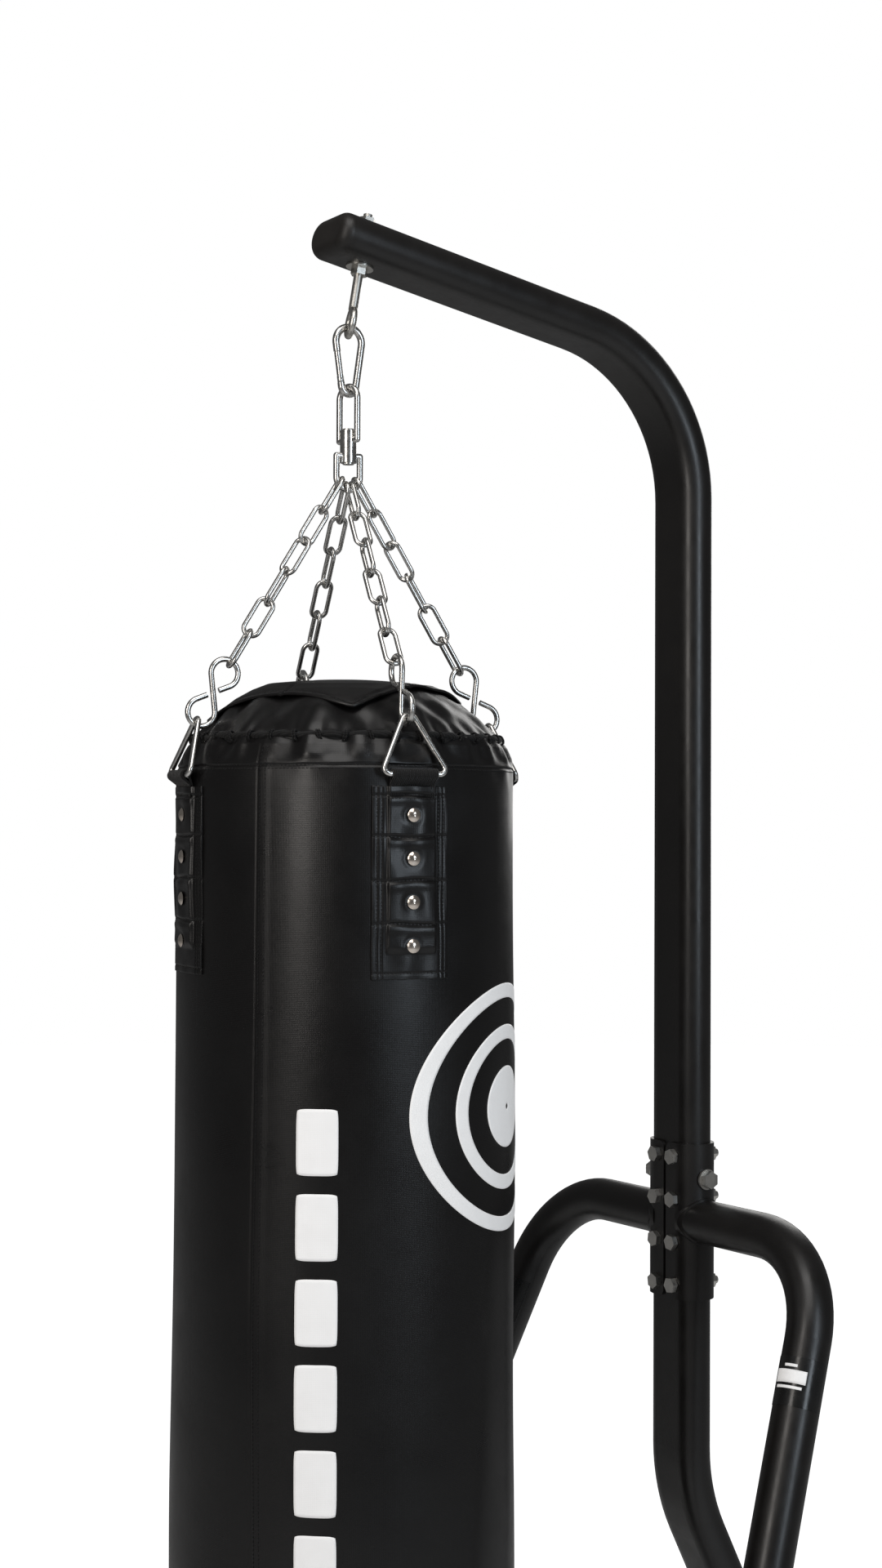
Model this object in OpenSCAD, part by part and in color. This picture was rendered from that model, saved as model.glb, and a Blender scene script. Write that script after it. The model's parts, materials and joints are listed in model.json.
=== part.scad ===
// Punching bag on a tripod stand: oval mast, curved arm, swivel, chains and a stuffed vinyl bag.
// Millimetres. The floor is z = 0, the arm points to -Y, and the origin is the middle of the footprint.

/* [Arm and mast] */
// Height of the arm's centre line above the bag's axis
arm_height = 2230; // [2150:5:2300]
// Distance from the mast's axis to the bag's axis
arm_reach = 465; // [450:5:480]
// Rise of the arm towards its tip, in degrees
arm_rise = 10; // [8:1:12]
// Centre-line radius of the bend between mast and arm
arm_bend_r = 190; // [170:5:210]
// Long side of the oval mast tube
mast_w = 80; // [76:1:84]
// Short side of the oval mast tube
mast_t = 44; // [42:1:46]
// Wall of the oval tube
mast_wall = 2.5; // [2:0.5:3]
// Height of the lower mast's backward bend
knee_height = 819; // [800:1:840]
// Lean of the rear leg from the vertical, in degrees
rear_lean = 26.6; // [24:0.2:28]
// Centre-line radius of the rear leg's upper bend
knee_bend_r = 226; // [200:2:240]

/* [Front legs] */
// Height of the clamp's middle and of the leg stubs
clamp_height = 1139; // [1130:1:1150]
// Outer diameter of the round leg tubes
leg_d = 50.8; // [48:0.2:52]
// Wall of the round leg tubes
leg_wall = 2.5; // [2:0.5:3]
// Distance from the mast's axis to the corner where a leg turns down
leg_corner_x = 243; // [230:1:255]
// Centre-line radius of the leg bends
leg_bend_r = 115; // [100:1:120]
// Outward travel of a leg for each millimetre down
leg_out = 0.15; // [0.1:0.01:0.2]
// Forward travel of a leg for each millimetre down
leg_forward = 0.39; // [0.35:0.01:0.42]
// Straight length of each tube along the floor
foot_run = 160; // [140:5:200]

/* [Clamp] */
// Height of the half-shell clamps
clamp_h = 182; // [176:1:190]
// Plate thickness of the half shells
clamp_wall = 4; // [3:0.5:5]
// Gap between the two half shells
clamp_gap = 4; // [3:0.5:6]
// Distance of each bolt column from the middle
bolt_x = 15.6; // [15:0.1:17]
// Distance between bolt rows
bolt_pitch = 50; // [48:1:52]

/* [Floor] */
// Height of the rubber feet under the tubes
pad_h = 8; // [6:1:12]
// Diameter of the weight plate pegs
peg_d = 24; // [22:0.5:25]
// Free height of the weight plate pegs
peg_h = 160; // [120:5:200]

/* [Hanging gear] */
// Wire diameter of the eye bolt's eye
eye_wire = 8; // [7:0.5:9]
// Inside diameter of the eye
eye_bore = 20; // [18:1:22]
// Turn of the eye about its bolt, in degrees
eye_turn = 20; // [-30:5:30]
// Wire diameter of the snap hook
hook_wire = 8; // [7:0.5:8]
// Overall length of the snap hook
hook_len = 80; // [78:1:82]
// Wire diameter of the swivel loops
loop_wire = 7; // [6:0.5:7]
// Diameter of the swivel barrels
barrel_d = 18; // [17:0.5:19]
// Turn of the upper swivel loop, in degrees
loop_turn = 14; // [0:1:20]
// Wire diameter of the chain links
link_wire = 5; // [4.5:0.5:5]
// Overall width of a chain link
link_w = 22; // [21:0.5:23]
// Links in each chain
link_count = 6; // [6:1:6]
// Wire diameter of the S hooks
s_wire = 6; // [5:0.5:6]
// Wire diameter of the triangle rings
ring_wire = 6; // [5:0.5:6]

/* [Bag] */
// Outer diameter of the bag
bag_d = 360; // [350:2:364]
// Height of the bag's underside above the floor
bag_floor = 192; // [180:2:220]
// Height of the laced rim above the floor
rim_z = 1692; // [1688:1:1696]
// Turn of the bag about its axis, in degrees
bag_turn = -9.4; // [-20:0.2:20]
// Thickness of the vinyl shell
skin = 2.5; // [2:0.5:3]
// Width of the stitched strap patches
patch_w = 83; // [78:1:90]
// Height of the stitched strap patches
patch_h = 193; // [185:1:200]
// Width of the webbing straps
strap_w = 50; // [48:1:50]
// Lacing turns around the rim cord
lacing_turns = 40; // [32:4:48]

/* [Hidden] */
$fn = 96;
fit = 0.15;
seam_cut = 0.2;
seam_h = 0.8;
seam_rise = 0.02;
seam_in = 0.12;

// Where the tubes meet the floor
leg_drop = sqrt(leg_out * leg_out + leg_forward * leg_forward);
leg_lean = atan(leg_drop);
leg_heading = atan2(leg_out, leg_forward);
leg_floor_z = pad_h + leg_d / 2;
leg_fall = clamp_height - leg_floor_z;
leg_floor_bend = 90 - leg_lean;
leg_floor_tan = leg_bend_r * tan(leg_floor_bend / 2);
foot_reach = leg_floor_tan + foot_run;
cap_lip = 4;
front_y = arm_reach - leg_forward * leg_fall - (foot_reach + cap_lip) * cos(leg_heading)
    - leg_d / 2 * sin(leg_heading);
rear_floor_z = pad_h + mast_t / 2;
rear_floor_bend = 90 - rear_lean;
rear_floor_r = 160;
rear_floor_tan = rear_floor_r * tan(rear_floor_bend / 2);
rear_corner_y = (knee_height - rear_floor_z) * tan(rear_lean);
rear_run = 100;
rear_y = arm_reach + rear_corner_y + rear_floor_tan + rear_run + cap_lip;

// Rise of a peg's weld bead above its tube
peg_bead = 1;

// Axes of the bag and of the mast in the shared frame
bag_y = -(front_y + rear_y) / 2;
mast_y = bag_y + arm_reach;

// Arm
arm_corner_z = arm_height - arm_reach * tan(arm_rise);
arm_bend = 90 - arm_rise;
arm_tan = arm_bend_r * tan(arm_bend / 2);
eye_drop = 99.5;
bolt_along = (arm_reach - eye_drop * sin(arm_rise)) / cos(arm_rise);
arm_end = bolt_along + 28;
eye_z = arm_corner_z + bolt_along * sin(arm_rise) - eye_drop * cos(arm_rise);
knee_tan = knee_bend_r * tan(rear_lean / 2);

// Clamp
clamp_in_w = mast_w + 2 * fit;
clamp_in_t = mast_t + 2 * fit;
clamp_out_w = clamp_in_w + 2 * clamp_wall;
clamp_out_t = clamp_in_t + 2 * clamp_wall;
cross_z = clamp_height + bolt_pitch;
bolt_rows = [-1.5, -0.5, 0.5, 1.5];

// Hanging gear, from the eye down
gap = 0.3;
hook_top_z = eye_z + eye_wire / 2 + hook_wire / 2 + gap;
hook_r1 = 16;
hook_r2 = 9;
hook_span = hook_len - hook_wire - hook_r1 - hook_r2;
hook_slope = asin((hook_r1 - hook_r2) / hook_span);
hook_c1_z = hook_top_z - hook_r1;
hook_c2_z = hook_c1_z - hook_span;
hook_low_z = hook_c2_z - hook_r2;
loop_r = 13.5;
loop_top_z = hook_low_z + hook_wire / 2 + loop_wire / 2 + gap;
seam_z = loop_top_z - 67;
top_barrel_h = 19;
low_barrel_h = 15.5;
loop_low_z = seam_z - 44.5;
pin_d = 8;

// Gate of the snap hook
tongue = 2.8;
slot = 3.4;
gate_d = 7;
gate_low = 8;
gate_len = 33;

// Chains, S hooks and triangle rings
ring_tip_r = 168;
ring_tip_z = rim_z + 19;
ring_tip = [ring_tip_r, 0, ring_tip_z];
ring_base_r = 187;
ring_base_z = rim_z - 40;
ring_half_w = 36.5;
link_in = 39.8;
link_len = link_in + 2 * link_wire;
s_lobe = 14.8;
s_centres = 48.6;
s_tail = 12.6;
side_start = 11;
side_hang = 7.6;
mid_start = 2.75;
mid_hang = 6.5;

// Bag
bag_r = bag_d / 2;
rim_r = 159;
cord_r = 164.3;
cord_d = 8;
foot_r = 25;
bottom_r = 150;
patch_top = rim_z - 52;
patch_out = bag_r + 4.5;
strap_in = bag_r + 0.2;
strap_t = 2;
rivet_first = patch_top - 29;
rivet_pitch = 43.6;
print_in = bag_r + 0.05;
print_out = bag_r + 0.35;

// ---- Shared shapes ----

module obround(w, t) {
    translate([-t / 2, -(w - t) / 2]) square([t, w - t]);
    translate([0, -(w - t) / 2]) circle(d = t);
    translate([0, (w - t) / 2]) circle(d = t);
}

module oval_tube_section() {
    difference() {
        obround(mast_w, mast_t);
        obround(mast_w - 2 * mast_wall, mast_t - 2 * mast_wall);
    }
}

module round_tube_section() {
    difference() {
        circle(d = leg_d);
        circle(d = leg_d - 2 * leg_wall);
    }
}

// Straight stretches stop seam_cut short of a bend, and a seam closes the tube there
module oval_seam() {
    e = 2 * seam_rise;
    translate([0, 0, -seam_h / 2]) linear_extrude(height = seam_h) difference() {
        obround(mast_w + e, mast_t + e);
        obround(mast_w - 2 * mast_wall - e, mast_t - 2 * mast_wall - e);
    }
}

module round_seam() {
    e = 2 * seam_rise;
    translate([0, 0, -seam_h / 2]) linear_extrude(height = seam_h) difference() {
        circle(d = leg_d + e);
        circle(d = leg_d - 2 * leg_wall - e);
    }
}

// Bend of a section that leaves along +Z and turns towards +X
module bend(radius, angle) {
    translate([radius, 0, 0]) rotate([90, 0, 180])
        rotate_extrude(angle = angle) translate([radius, 0]) children();
}

module after_bend(radius, angle) {
    translate([radius * (1 - cos(angle)), 0, radius * sin(angle)]) rotate([0, angle, 0]) children();
}

// Wire pieces in the XY plane
module wire_arc(c, r, a0, a1, d) {
    translate([c[0], c[1], 0]) rotate([0, 0, a0])
        rotate_extrude(angle = a1 - a0) translate([r, 0]) circle(d = d, $fn = 48);
}

module wire_rod(p, q, d) {
    v = q - p;
    translate([p[0], p[1], 0]) rotate([0, 0, atan2(v[1], v[0])]) rotate([0, 90, 0])
        cylinder(d = d, h = norm(v), $fn = 48);
}

// Straight wire that joins arcs, with a hair-thin seam at each joined end
module wire_line(p, q, d, joined = [0, 1]) {
    v = q - p;
    long = norm(v);
    translate([p[0], p[1], 0]) rotate([0, 0, atan2(v[1], v[0])]) rotate([0, 90, 0]) {
        translate([0, 0, seam_cut]) cylinder(d = d, h = long - 2 * seam_cut, $fn = 48);
        for (k = joined)
            translate([0, 0, k * long]) rotate([180 * k, 0, 0]) wire_seam(d);
    }
}

// Reaches seam_in into the arc below it and further into the straight wire above it
module wire_seam(d) {
    translate([0, 0, -seam_in]) cylinder(d = d + 2 * seam_rise, h = seam_in + seam_h / 2, $fn = 48);
}

module hex(af, h) {
    cylinder(d = af / cos(30), h = h, $fn = 6);
}

module ring_washer(od, id, h) {
    difference() {
        cylinder(d = od, h = h);
        translate([0, 0, -1]) cylinder(d = id, h = h + 2);
    }
}

module hex_nut(af, bore, h) {
    difference() {
        hex(af, h);
        translate([0, 0, -1]) cylinder(d = bore, h = h + 2);
    }
}

// Moves to the bag's axis, turned with the bag and then by an azimuth
module on_bag(azimuth, z) {
    translate([0, bag_y, z]) rotate([0, 0, bag_turn + azimuth - 90]) children();
}

module mirrored(side) {
    if (side > 0) children();
    else mirror([1, 0, 0]) children();
}

// ---- Stand ----

// From the mast's bottom end to the arm's tip, local +X towards the bag
module along_arm(distance) {
    translate([0, mast_y, arm_corner_z - arm_tan]) rotate([0, 0, -90])
        after_bend(arm_bend_r, arm_bend) translate([0, 0, distance - arm_tan]) children();
}

module upper_mast() {
    color("#1c1a19") difference() {
        union() {
            translate([0, mast_y, clamp_height + 0.5]) rotate([0, 0, -90])
                linear_extrude(height = arm_corner_z - arm_tan - clamp_height - 0.5 - seam_cut)
                    oval_tube_section();
            translate([0, mast_y, arm_corner_z - arm_tan]) rotate([0, 0, -90]) {
                oval_seam();
                bend(arm_bend_r, arm_bend) oval_tube_section();
                after_bend(arm_bend_r, arm_bend) {
                    oval_seam();
                    translate([0, 0, seam_cut])
                        linear_extrude(height = arm_end - arm_tan - seam_cut) oval_tube_section();
                }
            }
        }
        along_arm(bolt_along) rotate([0, 90, 0]) cylinder(d = 10.6, h = mast_t + 4, center = true);
        for (x = [-bolt_x, bolt_x])
            for (k = [0.5, 1.5])
                translate([x, mast_y, clamp_height + k * bolt_pitch]) rotate([90, 0, 0])
                    cylinder(d = 10.6, h = mast_t + 4, center = true);
        translate([0, mast_y, cross_z]) rotate([0, 90, 0])
            cylinder(d = 12.6, h = mast_w + 4, center = true);
    }
}

// Plug and pillow-shaped face of an oval tube's cap, with its face towards +Z
module oval_cap(plug, lip, round_r, face_h) {
    half = (mast_w - mast_t) / 2;
    translate([0, 0, -plug]) linear_extrude(height = plug)
        obround(mast_w - 2 * mast_wall - 2 * fit, mast_t - 2 * mast_wall - 2 * fit);
    for (k = [-1, 1])
        translate([0, k * half, 0]) rotate([0, 0, k > 0 ? 0 : 180])
            rotate_extrude(angle = 180) cap_profile(lip, round_r, face_h);
    translate([0, half, 0]) rotate([90, 0, 0]) linear_extrude(height = 2 * half)
        for (m = [0, 1]) mirror([m, 0]) cap_profile(lip, round_r, face_h);
}

module cap_profile(lip, round_r, face_h) {
    square([mast_t / 2, lip]);
    square([mast_t / 2 - round_r, face_h]);
    translate([mast_t / 2 - round_r, face_h - round_r]) intersection() {
        circle(r = round_r);
        square([round_r, round_r]);
    }
    square([mast_t / 2, face_h - round_r]);
}

module arm_end_cap() {
    color("#141312") along_arm(arm_end) oval_cap(18, 4, 13, 19);
}

module lower_mast() {
    straight = clamp_height - 0.5 - knee_height - knee_tan;
    slope = (knee_height - rear_floor_z) / cos(rear_lean) - knee_tan - rear_floor_tan;
    color("#1c1a19") difference() {
        translate([0, mast_y, clamp_height - 0.5]) rotate([180, 0, 90]) {
            linear_extrude(height = straight - seam_cut) oval_tube_section();
            translate([0, 0, straight]) {
                oval_seam();
                bend(knee_bend_r, rear_lean) oval_tube_section();
                after_bend(knee_bend_r, rear_lean) {
                    oval_seam();
                    translate([0, 0, seam_cut])
                        linear_extrude(height = slope - 2 * seam_cut) oval_tube_section();
                    translate([0, 0, slope]) {
                        oval_seam();
                        bend(rear_floor_r, rear_floor_bend) oval_tube_section();
                        after_bend(rear_floor_r, rear_floor_bend) {
                            oval_seam();
                            translate([0, 0, seam_cut])
                                linear_extrude(height = rear_run - seam_cut) oval_tube_section();
                        }
                    }
                }
            }
        }
        for (x = [-bolt_x, bolt_x])
            for (k = [-1.5, -0.5])
                translate([x, mast_y, clamp_height + k * bolt_pitch]) rotate([90, 0, 0])
                    cylinder(d = 10.6, h = mast_t + 4, center = true);
    }
}

module rear_end_cap() {
    color("#141312") translate([0, bag_y + rear_y - cap_lip, rear_floor_z]) rotate([-90, 0, 0])
        rotate([0, 0, 90]) oval_cap(24, 1, 3, cap_lip);
}

// One half shell, on the +X side, with rounded plate corners along the seam
module half_shell() {
    corner = 8;
    edge = clamp_gap / 2;
    difference() {
        intersection() {
            translate([0, mast_y, clamp_height - clamp_h / 2]) rotate([0, 0, 90])
                linear_extrude(height = clamp_h) difference() {
                    obround(clamp_out_w, clamp_out_t);
                    obround(clamp_in_w, clamp_in_t);
                }
            translate([0, mast_y + 50, clamp_height]) rotate([90, 0, 0]) linear_extrude(height = 100) {
                translate([edge + corner, -clamp_h / 2]) square([60, clamp_h]);
                translate([edge, -clamp_h / 2 + corner]) square([60, clamp_h - 2 * corner]);
                for (k = [-1, 1])
                    translate([edge + corner, k * (clamp_h / 2 - corner)]) circle(r = corner);
            }
        }
        for (k = bolt_rows)
            translate([bolt_x, mast_y, clamp_height + k * bolt_pitch]) rotate([90, 0, 0])
                cylinder(d = 10.6, h = clamp_out_t + 4, center = true);
        translate([30, mast_y, cross_z]) rotate([0, 90, 0]) cylinder(d = 12.6, h = 30);
    }
}

module clamp_right() {
    color("#181615") half_shell();
}

module clamp_left() {
    color("#181615") mirror([1, 0, 0]) half_shell();
}

// Follows a right-hand leg from the clamp; station 1 is the slope's top, station 2 the floor run
leg_top_bend = 90 - atan(leg_out / sqrt(1 + leg_forward * leg_forward));
leg_top_tan = leg_bend_r * tan(leg_top_bend / 2);
leg_slope = leg_fall * sqrt(1 + leg_drop * leg_drop) - leg_top_tan - leg_floor_tan;

module at_slope() {
    translate([leg_corner_x, mast_y, clamp_height]) rotate([0, 0, leg_heading - 90])
        rotate([0, 180 - leg_lean, 0]) translate([0, 0, leg_top_tan]) children();
}

module at_floor_run() {
    at_slope() translate([0, 0, leg_slope]) rotate([0, 0, 180])
        after_bend(leg_bend_r, leg_floor_bend) children();
}

module leg() {
    difference() {
        union() {
            translate([20, mast_y, clamp_height]) rotate([0, 90, 0])
                linear_extrude(height = leg_corner_x - leg_top_tan - 20 - seam_cut)
                    round_tube_section();
            translate([leg_corner_x - leg_top_tan, mast_y, clamp_height])
                rotate([-atan(leg_forward), 0, 0]) rotate([0, 90, 0]) {
                    round_seam();
                    bend(leg_bend_r, leg_top_bend) round_tube_section();
                }
            at_slope() {
                round_seam();
                translate([0, 0, seam_cut])
                    linear_extrude(height = leg_slope - 2 * seam_cut) round_tube_section();
                translate([0, 0, leg_slope]) rotate([0, 0, 180]) {
                    round_seam();
                    bend(leg_bend_r, leg_floor_bend) round_tube_section();
                }
            }
            at_floor_run() {
                round_seam();
                translate([0, 0, seam_cut])
                    linear_extrude(height = foot_run - seam_cut) round_tube_section();
            }
        }
        clamp_core(0);
    }
}

module clamp_core(extra) {
    translate([0, mast_y, clamp_height - clamp_h / 2]) rotate([0, 0, 90])
        linear_extrude(height = clamp_h) obround(clamp_out_w + 2 * extra, clamp_out_t + 2 * extra);
}

module leg_right() {
    color("#1c1a19") leg();
}

module leg_left() {
    color("#1c1a19") mirror([1, 0, 0]) leg();
}

module leg_welds() {
    bead = 2.4;
    color("#2a2624") for (side = [-1, 1]) mirrored(side) difference() {
        intersection() {
            clamp_core(bead);
            translate([20, mast_y, clamp_height]) rotate([0, 90, 0])
                cylinder(d = leg_d + 2 * bead, h = 40);
        }
        clamp_core(0);
        translate([19, mast_y, clamp_height]) rotate([0, 90, 0]) cylinder(d = leg_d, h = 42);
    }
}

module leg_end_caps() {
    color("#141312") for (side = [-1, 1]) mirrored(side) at_floor_run() {
        translate([0, 0, foot_run - 20]) cylinder(d = leg_d - 2 * leg_wall - 2 * fit, h = 20);
        translate([0, 0, foot_run]) cylinder(d = leg_d, h = cap_lip);
    }
}

// Blocks under the tubes, hollowed on top to seat them
module rubber_feet() {
    color("#0e0e0e") {
        for (side = [-1, 1]) mirrored(side) difference() {
            at_floor_run() for (s = [22, foot_run - 22])
                translate([-leg_d / 2 - pad_h, 0, s]) rotate([0, 90, 0]) cylinder(d = 40, h = 16);
            at_floor_run() translate([0, 0, -30]) cylinder(d = leg_d + 0.2, h = foot_run + 60);
        }
        for (y = [rear_y - 32, rear_y - rear_run + 10])
            translate([0, bag_y + y, 0]) cylinder(d = 40, h = pad_h - 0.1);
    }
}

// Pegs on the round tubes stand in a weld bead with a flat top
module weight_pegs() {
    color("#1c1a19") {
        for (side = [-1, 1]) mirrored(side) difference() {
            at_floor_run() translate([0, 0, foot_run - 40]) rotate([0, 90, 0]) {
                cylinder(d = peg_d, h = leg_d / 2 + peg_h);
                cylinder(d = peg_d + 6, h = leg_d / 2 + peg_bead);
            }
            at_floor_run() cylinder(d = leg_d, h = foot_run);
        }
        translate([0, bag_y + rear_y - 45, rear_floor_z + mast_t / 2]) cylinder(d = peg_d, h = peg_h);
    }
}

module clamp_bolts() {
    color("#b9b7b2") for (x = [-bolt_x, bolt_x])
        for (k = bolt_rows)
            translate([x, mast_y - clamp_out_t / 2, clamp_height + k * bolt_pitch])
                rotate([-90, 0, 0]) {
                    translate([0, 0, -6.4]) rotate([0, 0, 15 * k + x]) hex(16, 6.4);
                    translate([0, 0, -3]) cylinder(d = 10, h = clamp_out_t + 16);
                }
}

module clamp_nuts() {
    color("#b9b7b2") for (x = [-bolt_x, bolt_x])
        for (k = bolt_rows)
            translate([x, mast_y + clamp_out_t / 2, clamp_height + k * bolt_pitch])
                rotate([-90, 0, 0]) hex_nut(16, 10.1, 8);
}

module cross_bolt() {
    reach = clamp_out_w / 2 + 2.7;
    color("#b9b7b2") translate([0, mast_y, cross_z]) rotate([0, 90, 0]) {
        translate([0, 0, reach]) hex(18, 7.5);
        translate([0, 0, -reach - 14]) cylinder(d = 12, h = 2 * reach + 17);
    }
}

module cross_bolt_washers() {
    color("#c6c4bf") for (side = [-1, 1])
        translate([side * (clamp_out_w / 2 + 1.4), mast_y, cross_z]) rotate([0, 90, 0])
            translate([0, 0, -1.2]) ring_washer(24, 12.4, 2.4);
}

module cross_bolt_nut() {
    color("#b9b7b2") translate([-clamp_out_w / 2 - 2.7, mast_y, cross_z]) rotate([0, -90, 0])
        hex_nut(18, 12.1, 10);
}

// Half-round films that face forwards on the slopes
module leg_labels() {
    label_turn = 185;
    color("#101010") for (side = [-1, 1]) mirrored(side) at_slope()
        translate([0, 0, 22]) rotate([0, 0, label_turn]) intersection() {
            difference() {
                cylinder(d = leg_d + 0.8, h = 52);
                translate([0, 0, -1]) cylinder(d = leg_d + 0.1, h = 54);
            }
            translate([0, -27, 0]) cube([40, 54, 52]);
        }
}

// ---- Eye bolt ----

// Local +Z runs down the bolt from the arm's centre line
module along_eye_bolt(distance) {
    along_arm(bolt_along) rotate([0, 90, 0]) translate([0, 0, distance]) children();
}

module eye_bolt() {
    eye_r = (eye_bore + eye_wire) / 2;
    top = -mast_t / 2 - 14.5;
    color("#c9c7c2") along_eye_bolt(0) rotate([0, 0, eye_turn]) {
        translate([0, 0, top]) cylinder(d = 10, h = eye_drop - 2 * eye_r - top);
        translate([0, 0, eye_drop - eye_r]) rotate([90, 0, 90])
            rotate_extrude() translate([eye_r, 0]) circle(d = eye_wire, $fn = 48);
    }
}

module eye_bolt_washers() {
    color("#cfcdc8") for (z = [-mast_t / 2 - 2.1, mast_t / 2 + 0.1])
        along_eye_bolt(z) ring_washer(30, 10.6, 2);
}

module eye_bolt_nuts() {
    color("#c4c2bd") for (z = [-mast_t / 2 - 10.2, mast_t / 2 + 2.2])
        along_eye_bolt(z) rotate([0, 0, 12]) hex_nut(16, 10.1, 8);
}

// ---- Snap hook: drawn in its own plane, local +X towards the mast and local +Y up ----

module in_hook_plane(z) {
    translate([0, bag_y, z]) rotate([90, 0, 90]) children();
}

gate_side = 180 + hook_slope;
gate_foot = hook_r2 * [cos(gate_side), sin(gate_side)];
gate_dir = [-sin(hook_slope), cos(hook_slope)];
gate_pin_at = gate_foot + gate_low * gate_dir;

// Frame of the gate: origin at its pin, local +Y along the gate, local +X out of the hook
module at_gate() {
    in_hook_plane(hook_c2_z) translate([gate_pin_at[0], gate_pin_at[1], 0])
        rotate([0, 0, hook_slope]) children();
}

module snap_hook() {
    side_len = hook_span * cos(hook_slope);
    arms = hook_r1 * [cos(hook_slope), -sin(hook_slope)];
    color("#d2d0cb") {
        in_hook_plane(hook_c2_z) {
            wire_arc([0, 0], hook_r2, gate_side, 360 - hook_slope, hook_wire);
            wire_arc([0, hook_span], hook_r1, -hook_slope, gate_side, hook_wire);
            wire_line(hook_r2 * [cos(hook_slope), -sin(hook_slope)],
                [0, hook_span] + arms, hook_wire);
        }
        at_gate() {
            translate([0, -gate_low, 0]) rotate([-90, 0, 0]) {
                wire_seam(hook_wire);
                translate([0, 0, seam_cut]) cylinder(d = hook_wire, h = gate_low - 4.4, $fn = 48);
            }
            difference() {
                translate([-3.5, 1 - gate_low, -tongue / 2]) cube([7, gate_low + 2, tongue]);
                cylinder(d = 2.6, h = 10, center = true);
            }
            nose = side_len - gate_low;
            translate([0, nose, 0]) rotate([90, 0, 0]) {
                wire_seam(hook_wire);
                translate([0, 0, seam_cut])
                    cylinder(d = hook_wire, h = nose - gate_len + 3.3, $fn = 48);
            }
            translate([-2.5, gate_len - 9, -tongue / 2]) cube([5, 8, tongue]);
        }
    }
}

module snap_gate() {
    color("#d8d6d1") at_gate() difference() {
        translate([0, -2.6, 0]) rotate([-90, 0, 0]) cylinder(d = gate_d, h = gate_len - 1.6);
        translate([-6, -4, -slot / 2]) cube([12, 9.2, slot]);
        translate([-6, gate_len - 10, -slot / 2]) cube([12, 8, slot]);
        cylinder(d = 2.45, h = 10, center = true);
        rotate([-90, 0, 0]) cylinder(d = 3.8, h = 22);
    }
}

module gate_pin() {
    color("#b5b3ae") at_gate() cylinder(d = 2.4, h = 6.4, center = true);
}

// Wire of 0.7 wound with a 2 mm pitch: each level's slice is an arc of the wire's own height
module gate_spring() {
    turns = 7;
    span = 126;
    color("#9a9893") at_gate() translate([0, 6, 0]) rotate([-90, 0, 0])
        linear_extrude(height = 14, twist = -360 * turns, slices = 24 * turns, $fn = 16)
            polygon(concat([for (a = [0 : 18 : span]) 1.7 * [cos(a), sin(a)]],
                [for (a = [span : -18 : 0]) 1.0 * [cos(a), sin(a)]]));
}

// ---- Swivel ----

// U of wire whose ends turn in to the barrel; drawn in its own plane with its crown at +Y
module swivel_loop(crown, entry) {
    c = crown - loop_r;
    wire_arc([0, c], loop_r, 0, 180, loop_wire);
    for (k = [-1, 1]) {
        wire_rod([k * loop_r, entry], [k * loop_r, c], loop_wire);
        translate([k * loop_r, entry, 0]) sphere(d = loop_wire, $fn = 48);
        wire_rod([k * 6, entry], [k * loop_r, entry], loop_wire);
    }
}

module swivel_top_loop() {
    color("#d0cec9") translate([0, bag_y, seam_z]) rotate([0, 0, loop_turn]) rotate([90, 0, 0])
        swivel_loop(67, 9);
}

module swivel_top_barrel() {
    color("#c8c6c1") translate([0, bag_y, seam_z + gap]) difference() {
        cylinder(d = barrel_d, h = top_barrel_h);
        translate([0, 0, -1]) cylinder(d = pin_d + 0.1, h = top_barrel_h + 2);
        translate([0, 0, 9 - gap]) rotate([0, 0, loop_turn]) for (k = [0, 180])
            rotate([0, 0, k]) translate([5.9, 0, 0]) rotate([0, 90, 0])
                cylinder(d = loop_wire + 0.1, h = 8);
    }
}

module swivel_pin() {
    color("#b9b7b2") translate([0, bag_y, seam_z]) {
        translate([0, 0, -low_barrel_h]) cylinder(d = pin_d, h = top_barrel_h + low_barrel_h + 1);
        translate([0, 0, top_barrel_h + 2 * gap]) cylinder(d = 12.5, h = 1.6);
        translate([0, 0, -low_barrel_h - 1.6]) cylinder(d = 12.5, h = 1.6);
    }
}

module swivel_bottom_barrel() {
    color("#c8c6c1") translate([0, bag_y, seam_z]) difference() {
        translate([0, 0, -low_barrel_h + 0.05]) cylinder(d = barrel_d, h = low_barrel_h - 0.05);
        translate([0, 0, -low_barrel_h - 1]) cylinder(d = pin_d + 0.1, h = low_barrel_h + 2);
        translate([0, 0, -8]) rotate([0, 0, bag_turn]) for (k = [90, 270])
            rotate([0, 0, k]) translate([5.9, 0, 0]) rotate([0, 90, 0])
                cylinder(d = loop_wire + 0.1, h = 8);
    }
}

module swivel_bottom_loop() {
    color("#d0cec9") translate([0, bag_y, seam_z]) rotate([0, 0, bag_turn + 90]) rotate([-90, 0, 0])
        swivel_loop(44.5, 8);
}

// ---- Chains: azimuth 0 is the front, 90 the right ----

// Start of a chain on the lower loop's wire; +X is the azimuth's direction
function in_loop_plane(azimuth) = azimuth == 0 || azimuth == 180;
function loop_lift(x) = loop_r - sqrt(loop_r * loop_r - x * x);
function start_in_plane(azimuth) = in_loop_plane(azimuth)
    ? [side_start, 0, loop_low_z + loop_lift(side_start)]
    : [0, mid_start, loop_low_z + loop_lift(mid_start)];

// Local +Z runs down the chain, local +X stays in the vertical plane of the azimuth
module down_chain(azimuth, distance) {
    s = start_in_plane(azimuth);
    v = ring_tip - s;
    on_bag(azimuth, 0) translate(s) rotate([0, acos(v[2] / norm(v)), atan2(v[1], v[0])])
        translate([0, 0, distance]) children();
}

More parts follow.
